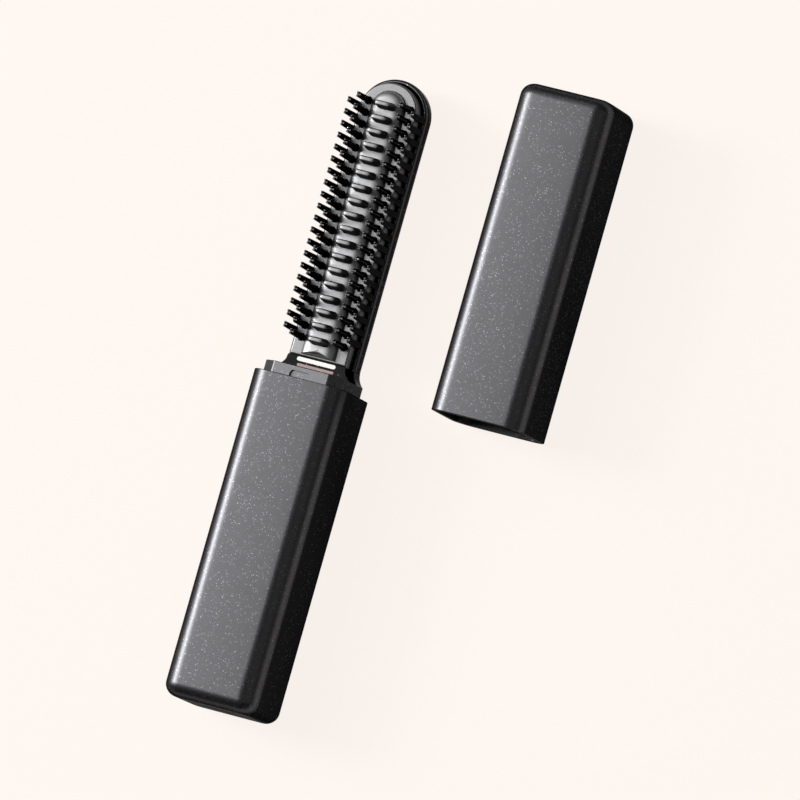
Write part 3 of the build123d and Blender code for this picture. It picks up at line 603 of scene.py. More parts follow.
# %% [markdown]
# ## Profiles carried round outlines
#
# Many pieces are one outline with one profile, which says how far in from the outline the skin
# lies at each height. A loft through separate sections could make the same skin, but here a rim,
# an edge or a wall is only one more point in the profile. Three small functions then lay such a
# stack along the comb, stand it up from the table or turn it to the handle's left.

# %% Carry a profile and place it
BARELY_ROUND = 0.01               # corner of a cutter whose corners don't matter
PAST = 1.0                        # how far a cutter reaches past the face that it opens


def carried(outline, profile, closed=True):
    """A profile of (inset, height) carried round an outline: the point is the outline's point
    moved inwards by the inset, at that height. Closed adds the outline's middle at both ends."""
    base, normal = outline
    inset, height = np.asarray(profile, float).T
    flat = base[None] - inset[:, None, None] * normal[None]
    if closed:
        middle = np.broadcast_to(base.mean(axis=0), flat[:1].shape)
        flat = np.concatenate([middle, flat, middle])
        height = np.concatenate([height[:1], height, height[-1:]])
    tall = np.broadcast_to(height[:, None], flat.shape[:-1])
    return np.concatenate([flat, tall[..., None]], axis=-1)


def slab(width, height, low, high, radius=BARELY_ROUND):
    """A plain block on a rounded rectangle, to cut with."""
    return carried(rounded_box(width, height, radius, steps=4), [(0, low), (0, high)])


def pocket(outline, depth, edge):
    """A cutter: an outline that reaches depth below a face and flares by edge at the face."""
    return carried(outline, [(0, -depth), (0, -edge), (-edge, 0), (-edge, PAST)])


def tube(outline, wall, low, high):
    """A closed tube: up the outside and down the inside of an outline."""
    return carried(outline, [(0, low), (0, high), (wall, high), (wall, low), (0, low)],
                   closed=False)


def lying(points, x=0.0, y=0.0, z=0.0):
    """Outline in x and z, height along y."""
    return points[..., [0, 2, 1]] + np.array([x, y, z])


def standing(points, x=0.0, y=0.0, z=0.0):
    """Outline in x and y, height along z."""
    return points + np.array([x, y, z])


def facing_left(points, x=0.0, y=0.0, z=0.0):
    """Outline in y and z, height towards -x."""
    return points[..., [2, 0, 1]] * np.array([-1.0, 1.0, 1.0]) + np.array([x, y, z])


print("a block to cut with is a grid of", slab(2, 1, 0, 1).shape[:2], "points")

# %% [markdown]
# ## The casing's section
#
# Handle and cap are drawn aluminium tubes of one section. It could be a square with rounded
# corners, but dead flat sides shade in one even tone. A drawn tube's sides bulge by a hair, which
# gives the slow fade from one edge to the other. So each side here is a very flat arc, which meets
# the corner's arc with the same tangent.

# %% The casing's section
CASE_CORNER, CROWN = 5.6, math.radians(1.2)


def crowned_square(half, radius, crown, steps=14):
    """A rounded square whose sides bulge, turning by the crown angle from middle to end.

    A side arc and a corner arc meet with one tangent when the side's radius less the corner's is
    (half - radius) / (1 + sin crown - cos crown)."""
    extra = (half - radius) / (1 + math.sin(crown) - math.cos(crown))
    bend = extra * math.sin(crown)
    side = np.linspace(-crown, crown, steps + 1)
    corner = np.linspace(crown, math.pi / 2 - crown, steps + 1)[1:-1]
    angle = np.concatenate([side, corner])
    from_side = np.concatenate([np.ones(len(side), bool), np.zeros(len(corner), bool)])
    normal = np.stack([np.cos(angle), np.sin(angle)], axis=-1)
    centre = np.where(from_side[:, None], [half - extra - radius, 0.0], [bend, bend])
    reach = np.where(from_side, extra + radius, radius)[:, None]
    quarter = centre + reach * normal
    turned, facing = [], []
    for _ in range(4):
        turned.append(quarter)
        facing.append(normal)
        quarter = np.stack([-quarter[:, 1], quarter[:, 0]], axis=-1)
        normal = np.stack([-normal[:, 1], normal[:, 0]], axis=-1)
    return np.concatenate(turned), np.concatenate(facing)


section = crowned_square(case_half, CASE_CORNER, CROWN)
print("section", len(section[0]), "points, half", round(section[0][:, 0].max(), 2), "mm wide")

# %% [markdown]
# ## Handle and cap
#
# Each is a cup: one profile runs from the middle of the inner floor, out over the rim, down the
# outside and round the closed end. A solid with the inside cut out would need more steps and give
# the rim no round. The button's window and the charging slot are then cut with pockets that flare
# at the surface, which leaves the broken edge of a punched hole.

# %% Handle and cap
CASE_WALL, CASE_END_ROUND, RIM_EDGE = 2.0, 4.0, 0.25
HANDLE_END_WALL, CAP_END_WALL = 2.6, 3.0
LEFT_STRAIGHT = 0.02              # of the closed end's line, beside its round
WINDOW_SIZE, WINDOW_DEPTH, WINDOW_FLARE = (12.3, 5.8), 3.5, 0.4
SLOT_SIZE, SLOT_DEPTH, SLOT_FLARE = (9.24, 3.46), 4.0, 0.3
OTHER_WAY = np.array([1, 1, -1])  # a stack's heights counted towards the handle's closed end


def cup(length, end_wall):
    """Profile of a cup as (inset, distance from the rim), from inner floor to outer end."""
    line = [(CASE_WALL, length - end_wall), (CASE_WALL, 0), (0, 0), (0, length),
            (CASE_END_ROUND, length)]
    return soften(line, (RIM_EDGE, RIM_EDGE, CASE_END_ROUND - LEFT_STRAIGHT), steps=10)


handle_cup = carried(section, cup(handle_high[1] - handle_low[1], HANDLE_END_WALL)) * OTHER_WAY
cap_cup = carried(section, cup(cap_high[1] - cap_low[1], CAP_END_WALL))
button_y = (button_low[1] + button_high[1]) / 2
window = pocket(pill(*WINDOW_SIZE), WINDOW_DEPTH, WINDOW_FLARE)
slot = pocket(pill(*SLOT_SIZE), SLOT_DEPTH, SLOT_FLARE) * OTHER_WAY
piece("handle_casing", [sheet_of(lying(handle_cup, y=rim, z=axis_z))],
      "handle", "shell_paint", ["handle_shell"],
      [[sheet_of(facing_left(window, x=-case_half, y=button_y, z=axis_z))],
       [sheet_of(lying(slot, y=handle_low[1], z=axis_z))]])
piece("cap_casing", [sheet_of(lying(cap_cup, x=cap_x, y=cap_rim, z=axis_z))],
      "cap", "shell_paint", ["cap_shell"])

# %% [markdown]
# ## The collar
#
# The cap pushes over an eight-sided collar, which stands on a square spigot inside the handle. The
# collar is an octagon with barely rounded corners carried up a short profile, and a chamfered box
# would look the same but have no such rounds. The room under it, the opening for the comb's root
# and the recess for the cap's latch are cut out of it. The spigot is a second closed shell, so
# that neither needs a skin that changes from eight sides to four.

# %% Collar
COLLAR_SIDE, COLLAR_CHAMFER, COLLAR_CORNER, COLLAR_EDGE = 25.45, 3.85, 0.8, 0.22
COLLAR_CEILING, UNDER_STEP, TOP_STEP = 1.5, 1.5, 1.0    # the steps: where its profile ends
LATCH_SIZE, LATCH_DEPTH, LATCH_CORNER = (6.4, 4.28), 0.7, 1.0
SPIGOT_WALL, SPIGOT_CORNER, SPIGOT_GAP, SPIGOT_TOP = 2.0, 3.45, 0.15, -0.01
ROOT_SIZE, ROOT_FIT, ROOT_CUT, WAY_Z = (9.8, 5.8), 0.3, 9, -6.8
collar_top = collar_high[1] - rim
spigot_low = collar_low[1] - rim
spigot_side = 2 * (case_half - CASE_WALL - SPIGOT_GAP)
room_side = spigot_side - 2 * SPIGOT_WALL


def octagon(side, chamfer, radius, steps):
    """A square with its corners cut at 45 degrees and each edge rounded by a small radius."""
    half = side / 2 - radius
    short = half - chamfer + radius * (2 - math.sqrt(2))
    ring = [(half, -short), (half, short), (short, half), (-short, half), (-half, short),
            (-half, -short), (-short, -half), (short, -half)]
    return rounded(ring, radius, steps)


collar_profile = soften([(UNDER_STEP, 0.0), (0, 0.0), (0, collar_top), (TOP_STEP, collar_top)],
                        (0, COLLAR_EDGE), steps=4)
collar = carried(octagon(COLLAR_SIDE, COLLAR_CHAMFER, COLLAR_CORNER, steps=6), collar_profile)
latch = slab(*LATCH_SIZE, -LATCH_DEPTH, PAST, LATCH_CORNER)
room = slab(room_side, room_side, -PAST, COLLAR_CEILING)
root_hole = slab(ROOT_SIZE[0] + ROOT_FIT, ROOT_SIZE[1] + ROOT_FIT, 0, ROOT_CUT)
piece("collar_ring", [sheet_of(lying(collar, y=rim, z=axis_z))],
      "handle", "collar_paint", ["collar"],
      [[sheet_of(standing(latch, y=rim, z=axis_z + COLLAR_SIDE / 2))],
       [sheet_of(lying(room, y=rim, z=axis_z))],
       [sheet_of(lying(root_hole, y=rim, z=axis_z + WAY_Z))]], sharp=20.0)
spigot = tube(rounded_box(spigot_side, spigot_side, SPIGOT_CORNER), SPIGOT_WALL, spigot_low,
              SPIGOT_TOP)
piece("collar_spigot", [sheet_of(lying(spigot, y=rim, z=axis_z))],
      "handle", "collar_paint", ["collar"])

# %% [markdown]
# ## Rings round a tongue
#
# Back shell, plate and ridge are all tongues: straight sides and a half-round tip. They could be
# cut from blocks, but one function gives them all, as rings stacked from the inside out, each with
# its own half-width, height, foot and centre of its round tip. A half-width of nought is the line
# that closes the skin. The foot may bow inwards, which makes the scoop at the foot of the ridge.

# %% Tongue rings
FOOT_POINTS, SIDE_POINTS, TIP_POINTS = 25, 49, 41
head_half = (frame_high[0] - frame_low[0]) / 2
neck_top = frame_low[1] - rim
arc_y = frame_high[1] - rim - head_half
plate_half = (plate_high[0] - plate_low[0]) / 2
plate_foot = plate_low[1] - rim
plate_front = housing_high[2] - axis_z


def tongue_rings(halves, heights, feet, arcs, bows):
    """Closed rings (rows, columns, 3): along the foot, up the right side, round the tip, down.

    The foot's points lie at y = foot + bow * (1 - (x / half)^2)."""
    half, z, foot, arc, bow = (np.asarray(v, float)[:, None]
                               for v in (halves, heights, feet, arcs, bows))
    across = np.linspace(-1, 1, FOOT_POINTS)[None]
    climb = np.linspace(0, 1, SIDE_POINTS)[None, 1:]
    turn = np.linspace(0, math.pi, TIP_POINTS)[None, 1:]
    foot_x = half * across
    foot_y = foot + bow * (1 - across ** 2)
    side_y = foot_y[:, -1:] + (arc - foot_y[:, -1:]) * climb
    right_x = half + 0 * climb
    x = np.concatenate([foot_x, right_x, half * np.cos(turn), -right_x[:, 1:]], axis=1)
    y = np.concatenate([foot_y, side_y, arc + half * np.sin(turn), side_y[:, -2::-1]], axis=1)
    return np.stack([x, y, z + 0 * x], axis=-1)


def on_head(points):
    """From the head's own measures, from the rim and the axis, to the frame."""
    return points + np.array([0.0, rim, axis_z])


print("head half-width", round(head_half, 2), "tip centre", round(arc_y, 2))

# %% [markdown]
# ## The comb's back
#
# The back is moulded in glossy black plastic: a trough with a well-rounded back, into whose open
# front the plate drops. Its rings go from the middle of the floor up the inside, over the seam and
# round the back. A solid tongue would look the same from outside, but the trough has to hold the
# plate's skirt and the heater. At its foot a way is cut for the leads.

# %% Trough
HEAD_WALL, HEAD_FLOOR, HEAD_BACK, BACK_ROUND = 1.7, 1.8, -10.5, 3.3
SEAM_Z, SEAM_EDGE, INNER_ROUND = -5.1, 0.15, 0.5
BLOCK_TOP = 3.0                   # the neck's solid end, up from the trough's foot
WAY_SIZE, WAY_RUN = (7.0, 3.0), (-PAST, 12)
SLIGHT = 1e-6                     # far below any size, to compare lengths with


def trough():
    """Rings from the middle of the trough's floor up its inside, over the seam and round the
    back."""
    inner, outer = head_half - HEAD_WALL, head_half
    line = soften([(0, HEAD_BACK + HEAD_FLOOR), (inner, HEAD_BACK + HEAD_FLOOR), (inner, SEAM_Z),
                   (outer, SEAM_Z), (outer, HEAD_BACK), (0, HEAD_BACK)],
                  (INNER_ROUND, 0, SEAM_EDGE, BACK_ROUND), steps=8)
    row = np.arange(len(line))
    inside = row < np.argmax(line[:, 0] > inner + SLIGHT)
    feet = np.where(inside, neck_top + BLOCK_TOP, neck_top)
    feet = feet + np.where((row == 0) | (row == row[-1]), inner, 0)
    return tongue_rings(line[:, 0], line[:, 1], feet, np.full(len(line), arc_y),
                        np.zeros(len(line)))


way = [sheet_of(on_head(lying(slab(*WAY_SIZE, *WAY_RUN), z=WAY_Z)))]
piece("comb_back", [sheet_of(on_head(trough()))], "handle", "housing_black", ["comb_housing"],
      [way], sharp=30.0)

# %% [markdown]
# ## The neck
#
# The neck flares in a quarter-round from the trough down to the collar. It is a stack of sections,
# each with the half-width and depth that the flare has at its height, because a plain loft
# between top and bottom would be straight. Behind the lip it is as wide as the trough, before it
# as narrow as the plate. Windows for the light bar are cut through its front. The root is a tube
# under it that stands in the collar and lets the leads through.

# %% Neck and root
LIP_Z = -3.1
NECK_FRONT_HALF, NECK_FRONT_BASE, NECK_CORNER, NECK_EDGE = 9.4, 12.3, 3.0, 0.25
NECK_SECTIONS, CORNER_POINTS = 17, 9
ROOT_WALL, ROOT_CORNER = 1.4, 0.3
LENS_SIZE, LENS_INSET = (12.5, 1.3), 0.8
STRIP_SIZE, STRIP_INSET, STRIP_HOLE_CORNER = (11.8, 0.9), 2.55, 0.1
WINDOW_GAP, WINDOW_FLOOR, WINDOW_TOP = 0.05, -1.1, 3
neck_base_half = (housing_high[0] - housing_low[0]) / 2
neck_base_back = housing_low[2] - axis_z


def flare(top, base, height):
    """Width at each height on a quarter-round that leaves the top straight down."""
    rise, spread = neck_top - collar_top, base - top
    radius = (rise ** 2 + spread ** 2) / (2 * abs(spread))
    return top + math.copysign(1, spread) * (radius - np.sqrt(radius ** 2
                                                              - (neck_top - height) ** 2))


def neck_rows():
    """Sections of the neck (rows, columns, 3), each a loop in x and z at its own y: a quarter
    circle at the back corner, the step at the lip and a small round at the front edge."""
    y = np.linspace(collar_top, neck_top, NECK_SECTIONS)
    wide = flare(head_half, neck_base_half, y)[:, None]
    narrow = flare(NECK_FRONT_HALF, NECK_FRONT_BASE, y)[:, None]
    back = flare(HEAD_BACK, neck_base_back, y)[:, None]
    turn = np.linspace(0, math.pi / 2, CORNER_POINTS)[None]
    x = np.concatenate([wide - NECK_CORNER + NECK_CORNER * np.sin(turn), wide,
                        narrow, narrow - NECK_EDGE + NECK_EDGE * np.cos(turn)], axis=1)
    z = np.concatenate([back + NECK_CORNER - NECK_CORNER * np.cos(turn), 0 * wide + LIP_Z,
                        0 * wide + LIP_Z,
                        0 * wide + plate_front - NECK_EDGE + NECK_EDGE * np.sin(turn)], axis=1)
    x = np.concatenate([x, -x[:, ::-1]], axis=1)
    z = np.concatenate([z, z[:, ::-1]], axis=1)
    loops = np.stack([x, y[:, None] + 0 * x, z], axis=-1)
    middle = np.broadcast_to(loops.mean(axis=1, keepdims=True), loops.shape)
    return np.concatenate([middle[:1], loops, middle[-1:]])


def front_window(outline, inset):
    """A cutter into the neck's front, that far below the neck's top."""
    block = carried(outline, [(0, WINDOW_FLOOR), (0, WINDOW_TOP)])
    return [sheet_of(on_head(standing(block, y=neck_top - inset)))]


lens_hole = [side + 2 * WINDOW_GAP for side in LENS_SIZE]
strip_hole = [side + 2 * WINDOW_GAP for side in STRIP_SIZE]
windows = [front_window(pill(*lens_hole), LENS_INSET),
           front_window(rounded_box(*strip_hole, STRIP_HOLE_CORNER, steps=4), STRIP_INSET)]
piece("comb_neck", [sheet_of(on_head(neck_rows()))], "handle", "housing_black",
      ["comb_housing"], windows + [way], sharp=30.0)
root = tube(rounded_box(*ROOT_SIZE, ROOT_CORNER, steps=4), ROOT_WALL, housing_low[1] - rim,
            collar_top)
piece("comb_root", [sheet_of(on_head(lying(root, z=WAY_Z)))], "handle", "housing_black",
      ["comb_housing"], sharp=30.0)

# %% [markdown]
# ## The lip
#
# A rounded bead runs round the plate and carries the outer teeth. Its outside is one long round
# from the seam up to its crest, its inside a short one down beside the plate. A curve with a bevel
# would give such a bead, but its ends and its meeting with the trough would be guesswork. Here
# the section is set out along the outline's normals, and both ends are closed to a point.

# %% Lip
LIP_INNER, LIP_OUTER, SEAM_STEP = 0.8, 0.8, 0.1
LIP_TIP_POINTS, LIP_SIDE_POINTS, LIP_ROUND_POINTS = 65, 33, 12


def tongue_line(half, foot, arc):
    """Open outline of a tongue from its right foot round to its left: points and normals."""
    turn = np.linspace(0, math.pi, LIP_TIP_POINTS)
    normal = np.stack([np.cos(turn), np.sin(turn)], axis=-1)
    points = normal * half + np.array([0, arc])
    climb = np.linspace(foot, arc, LIP_SIDE_POINTS)[:-1]
    right = np.stack([np.full(len(climb), half), climb], axis=-1)
    left = np.stack([np.full(len(climb), -half), climb[::-1]], axis=-1)
    side = np.broadcast_to([1.0, 0.0], right.shape)
    return np.concatenate([right, points, left]), np.concatenate([side, normal, -side])


def swept(line, section):
    """A section of (inset, height) points swept along an outline, closed at both ends."""
    points, normal = line
    inset, height = np.asarray(section, float).T
    flat = points[:, None] - inset[None, :, None] * normal[:, None]
    grid = np.concatenate([flat, np.broadcast_to(height[None, :, None], (*flat.shape[:2], 1))],
                          axis=-1)
    middle = np.broadcast_to(grid.mean(axis=1, keepdims=True), grid.shape)
    return np.concatenate([middle[:1], grid, middle[-1:]])


turn = np.linspace(0, math.pi / 2, LIP_ROUND_POINTS)
outer_round = np.stack([LIP_OUTER * (1 - np.cos(turn)),
                        SEAM_Z + SEAM_STEP + (LIP_Z - SEAM_Z - SEAM_STEP) * np.sin(turn)], axis=-1)
inner_round = np.stack([HEAD_WALL - LIP_INNER + LIP_INNER * np.sin(turn),
                        LIP_Z - LIP_INNER + LIP_INNER * np.cos(turn)], axis=-1)[1:]
lip_section = np.concatenate([[(0.0, SEAM_Z)], outer_round, inner_round, [(HEAD_WALL, SEAM_Z)]])
lip = swept(tongue_line(head_half, neck_top, arc_y), lip_section)
piece("comb_lip", [sheet_of(on_head(lip))], "handle", "tooth_black", ["tooth_frame"], sharp=40.0)

# %% [markdown]
# ## The shape of a tooth
#
# A tooth tapers from a nearly square foot and ends in two prongs, so that hair is parted and never
# pinned. It could be a tapered box with a notch cut in it, but then every edge is a knife. So the
# stem and both prongs are stacks of sections between an ellipse and a rectangle. Widths are
# straight-line blends from foot to tip, and the last rows of a prong shrink on a quarter-round,
# so that its end is blunt and safe on the scalp.

# %% The shape of a tooth
FORK_FLOOR, FORK_MOUTH, FORK_DEPTH = 0.2, 0.7, 0.8
STEM_POWER, PRONG_POWER, TOOTH_COLUMNS = 2.5, 2.3, 20
STEM_FOOT, STEM_EASE, PRONG_ROOT = 0.5, 0.25, 0.3       # the stem's ends, the prong's sunk foot
BLUNT, BLUNT_ROWS, LAST_ROW, END_SIZE = 0.5, 5, 0.25, 0.45      # a prong's blunt end


def stack(z, half_x, low_y, high_y, power):
    """Sections whose outline is |x/a|^p + |y/b|^p = 1, closed at both ends."""
    angle = np.linspace(0, 2 * math.pi, TOOTH_COLUMNS, endpoint=False)[None]
    spread = (np.abs(np.cos(angle)) ** power + np.abs(np.sin(angle)) ** power) ** (-1 / power)
    z, half_x, low_y, high_y = (np.asarray(v, float)[:, None] for v in (z, half_x, low_y, high_y))
    x = half_x * spread * np.cos(angle)
    y = (low_y + high_y) / 2 + (high_y - low_y) / 2 * spread * np.sin(angle)
    grid = np.stack([x, y, z + 0 * x], axis=-1)
    middle = np.broadcast_to(grid.mean(axis=1, keepdims=True), grid.shape)
    return np.concatenate([middle[:1], grid, middle[-1:]])


def copies_at(shape, places):
    """Copies of a shape at (x, y) places, as one more leading axis."""
    shifts = np.concatenate([places, np.zeros((len(places), 1))], axis=1)
    return shape[None] + shifts[:, None, None]


def tooth_sheets(places, base, tip, foot, top):
    """Stems and prongs of all teeth at the given (x, y) places.

    A width at height z is base + (tip - base) * (z - foot) / (top - foot)."""
    fork = top - FORK_DEPTH

    def blend(axis, z):
        return base[axis] + (tip[axis] - base[axis]) * (z - foot) / (top - foot)

    stem_z = np.array([foot, foot + STEM_FOOT, fork - STEM_EASE, fork])
    half_y = blend(1, stem_z) / 2
    stem = stack(stem_z, blend(0, stem_z) / 2, -half_y, half_y, STEM_POWER)
    quarter = np.linspace(0, math.pi / 2, BLUNT_ROWS)
    shrink = np.cos(quarter)
    shrink[-1] = LAST_ROW
    prong_z = np.concatenate([[fork - PRONG_ROOT, fork], top - BLUNT + BLUNT * np.sin(quarter)])
    share = np.clip((prong_z - fork) / FORK_DEPTH, 0, 1)
    inner_y = (FORK_FLOOR + (FORK_MOUTH - FORK_FLOOR) * share) / 2
    outer_y = blend(1, prong_z) / 2
    middle_y = (inner_y + outer_y) / 2
    half_x = blend(0, prong_z) / 2
    size = np.concatenate([[1, 1], END_SIZE + (1 - END_SIZE) * shrink])
    low_y = middle_y - (middle_y - inner_y) * size
    high_y = middle_y + (outer_y - middle_y) * size
    prong = stack(prong_z, half_x * size, low_y, high_y, PRONG_POWER)
    other = prong * np.array([1.0, -1.0, 1.0])
    return [sheet_of(on_head(copies_at(part, places))) for part in (stem, prong, other)]


print("a tooth has 3 stacks of", TOOTH_COLUMNS, "columns")

# %% [markdown]
# ## The rows of teeth
#
# Four rows stand on one pitch. The outer rows grow out of the lip, and the inner ones, which are
# longer, from two rails under the plate, through whose holes they stand. An array modifier could
# repeat one tooth, but the numpy array of places also serves for the holes. The teeth stop short
# of the neck, where the comb stays bare.

# %% Rows of teeth
TOOTH_PITCH, BARE_LENGTH = 3.655, 5.2
INNER_X, INNER_LEAD, INNER_BASE, INNER_TIP = 6.8, 2.2, (2.1, 2.1), (1.1, 1.75)
OUTER_X, OUTER_LEAD, OUTER_BASE, OUTER_TIP = 10.12, 0.4, (1.4, 2.2), (0.9, 1.72)
RAIL_HEIGHT, RAIL_WIDTH, RAIL_CORNER = 1.8, 2.4, 0.2
SUNK_IN_LIP, SUNK_IN_RAIL = 0.3, 0.2
inner_top, outer_top = inner_high[2] - axis_z, frame_high[2] - axis_z
rail_z = inner_low[2] - axis_z


def places_down(first, pitch):
    """Places from the first towards the neck, as many as leave its bare stretch free."""
    return first - pitch * np.arange(int((first - neck_top - BARE_LENGTH) / pitch) + 1)


def rows_at(x, first):
    """(x, y) places of one row of teeth."""
    y = places_down(arc_y + first, TOOTH_PITCH)
    return np.stack([np.full(len(y), x), y], axis=-1)


outer_rows = np.concatenate([rows_at(-OUTER_X, OUTER_LEAD), rows_at(OUTER_X, OUTER_LEAD)])
piece("outer_teeth",
      tooth_sheets(outer_rows, OUTER_BASE, OUTER_TIP, LIP_Z - SUNK_IN_LIP, outer_top),
      "handle", "tooth_black", ["tooth_frame"], sharp=50.0)
for side, name in ((-1, "inner_teeth_left"), (1, "inner_teeth_right")):
    row = rows_at(side * INNER_X, INNER_LEAD)
    rail = carried(rounded_box(RAIL_WIDTH, row[0, 1] - row[-1, 1], RAIL_CORNER, steps=4),
                   [(0, rail_z), (0, rail_z + RAIL_HEIGHT)])
    rail = standing(rail, x=side * INNER_X, y=(row[0, 1] + row[-1, 1]) / 2)
    piece(name.replace("inner", "smooth_inner"),
          [sheet_of(on_head(rail))] + tooth_sheets(row, INNER_BASE, INNER_TIP,
                                                   rail_z + RAIL_HEIGHT - SUNK_IN_RAIL, inner_top),
          "handle", "tooth_black", [name], sharp=50.0)

# %% [markdown]
# ## The heat plate
#
# The plate is one aluminium casting: a skirt that drops into the trough, a flat front with its
# edge rounded, and a ridge, scooped out at its foot where it clears the light bar. A ridge with
# flat flanks and a flat crown would show hard bands of light. A real casting's is a soft dome, so
# its half-width here is a power of a cosine and its height a power of a sine. The plate is one
# skin of tongue rings from the pocket under it to the middle of the crown. The holes that the
# inner teeth stand through are cut afterwards.

# %% Heat plate
SKIRT_WALL, PLATE_THICKNESS, PLATE_EDGE, POCKET_ROUND = 1.0, 2.0, 0.6, 0.4
RIDGE_HALF, RIDGE_LEAD, RIDGE_ROWS = 5.45, 1.2, 20
RIDGE_FULLNESS, RIDGE_FLANK = 4.4, 0.57
SCOOP, FRONT_LEAN = 0.55, 0.3
FOOT_INSET = 1.2 * PLATE_EDGE     # how far the edge's round may draw the foot in
HOLE, HOLE_CUT, HOLE_EDGE, HOLE_FLOOR = 2.5, 0.725, 0.02, -4.0
skirt_z = plate_low[2] - axis_z
crown_z = plate_front + RIDGE_HEIGHT


def ridge_half_section():
    """Half-width RIDGE_HALF * cos(t)^(2 / fullness) at height RIDGE_HEIGHT * sin(t)^(2 * flank)
    over the front, for t from 0 at the foot to a quarter turn at the crown."""
    climb = np.linspace(0, math.pi / 2, RIDGE_ROWS)
    line = np.stack([RIDGE_HALF * np.cos(climb).clip(0) ** (2 / RIDGE_FULLNESS),
                     plate_front + RIDGE_HEIGHT * np.sin(climb) ** (2 * RIDGE_FLANK)], -1)
    line[-1, 0] = 0
    return line


def plate_rings():
    """Rings from the middle of the pocket's ceiling, down inside the skirt, up its outside, over
    the front and up the ridge to the middle of its crown."""
    pocket_half = plate_half - SKIRT_WALL
    under = plate_front - PLATE_THICKNESS
    plate_line = soften([(0, under), (pocket_half, under), (pocket_half, skirt_z),
                         (plate_half, skirt_z), (plate_half, plate_front),
                         (RIDGE_HALF, plate_front)], (POCKET_ROUND, 0, 0, PLATE_EDGE), steps=5)
    line = np.concatenate([plate_line[:-1], ridge_half_section()])
    half, z = line.T
    row = np.arange(len(line))
    on_ridge = row >= len(plate_line) - 1
    inside = row < np.argmax(half > pocket_half + SLIGHT)
    drawn_in = plate_half - np.maximum(half, plate_half - FOOT_INSET)
    inset = np.where(z > skirt_z + 1, drawn_in, 0)
    feet = plate_foot + np.where(inside, SKIRT_WALL, inset)
    feet += np.where(row == 0, pocket_half, 0)
    feet += np.where(on_ridge, FRONT_LEAN * (RIDGE_HALF - half), 0)
    arcs = np.where(on_ridge, arc_y + RIDGE_LEAD, arc_y)
    bows = SCOOP * ((z - plate_front) / RIDGE_HEIGHT).clip(0)
    return tongue_rings(half, z, feet, arcs, bows)


hole = carried(octagon(HOLE, HOLE_CUT, HOLE_EDGE, steps=2),
               [(0, HOLE_FLOOR), (0, plate_front + PAST)])
hole_places = np.concatenate([rows_at(-INNER_X, INNER_LEAD), rows_at(INNER_X, INNER_LEAD)])
piece("smooth_plate", [sheet_of(on_head(plate_rings()))], "handle", "plate_metal",
      ["heat_plate"], [[sheet_of(on_head(copies_at(hole, hole_places)))]], sharp=28.0)

# %% [markdown]
# ## The fins
#
# Cross fins stand on the ridge and carry the heat into the hair. A fin could be a plain bar with a
# bevel, but a cast one narrows by its draft and isn't level on top. Each is a pill-shaped block
# with a soft top edge, flat in the middle and bowed down to its ends by the fourth power of the
# way from its middle, so that light fades only near the ends. One array holds all eighteen.

# %% Fins
FIN_PITCH, FIN_LEAD, FIN_ROOT, FIN_DRAFT = 4.288, 1.6, 1.2, math.tan(math.radians(6))
FIN_LENGTH, FIN_THICKNESS, FIN_EDGE, FIN_BOW = 5.9, 2.45, 0.45, 0.5
fin_top = plate_high[2] - axis_z
fin_profile = soften([(FIN_THICKNESS / 2, crown_z - FIN_ROOT),
                      (-FIN_ROOT * FIN_DRAFT, crown_z - FIN_ROOT),
                      ((fin_top - crown_z) * FIN_DRAFT, fin_top),
                      (FIN_THICKNESS / 2, fin_top)], (0, FIN_EDGE), steps=6)
fin = carried(pill(FIN_LENGTH, FIN_THICKNESS, steps=12, along=8), fin_profile, closed=False)
above = ((fin[..., 2] - crown_z) / (fin_top - crown_z)).clip(0)
fin[..., 2] -= FIN_BOW * above * (2 * fin[..., 0] / FIN_LENGTH) ** 4
fin_y = places_down(arc_y + FIN_LEAD, FIN_PITCH)
fin_places = np.stack([0 * fin_y, fin_y], axis=-1)
piece("plate_fins", [sheet_of(on_head(copies_at(fin, fin_places)))], "handle", "plate_metal",
      ["heat_plate"], sharp=50.0)
print(len(fin_y), "fins")

# %% [markdown]
# ## The light bar
#
# Two moulded diffusers sit in the neck's front. The white one stands a little proud and glows when
# the comb heats, and the tinted strip below it lies just under the surface. A decal would do for
# a distant view, but the thin dark gap round a real part needs a window and a block in it.

# %% Light bar
SEAT_GAP = 0.65                   # from the window's floor to the diffuser
LENS_STEP, LENS_EDGE, STRIP_STEP, STRIP_EDGE, STRIP_CORNER = 0.3, 0.14, 0.2, 0.08, 0.2


def in_window(outline, top, face_step, edge, steps, inset):
    """A closed block on an outline: up from its seat, over a small round onto its face."""
    profile = soften([(0, WINDOW_FLOOR + SEAT_GAP), (0, top), (face_step, top)], (edge,), steps)
    return [sheet_of(on_head(standing(carried(outline, profile), y=neck_top - inset)))]


piece("diffuser", in_window(pill(*LENS_SIZE), lens_high[2] - axis_z, LENS_STEP, LENS_EDGE, 5,
                            LENS_INSET),
      "handle", "lens_white", ["light_bar_lens"], sharp=60.0)
piece("diffuser_strip", in_window(rounded_box(*STRIP_SIZE, STRIP_CORNER, steps=4),
                                  strip_high[2] - axis_z, STRIP_STEP, STRIP_EDGE, 4, STRIP_INSET),
      "handle", "lip_beige", ["light_bar_lip"], sharp=60.0)

# %% [markdown]
# ## The power button
#
# The button is a pill with a broken edge, and a flange keeps it behind the handle's wall. A
# flattened capsule would have neither a flat face nor a flange, so it is a pill's outline with a
# stepped profile. It has a body of its own, so that it can sink into its window when it is
# pressed. Its place and its outer size are those of the CAD button.

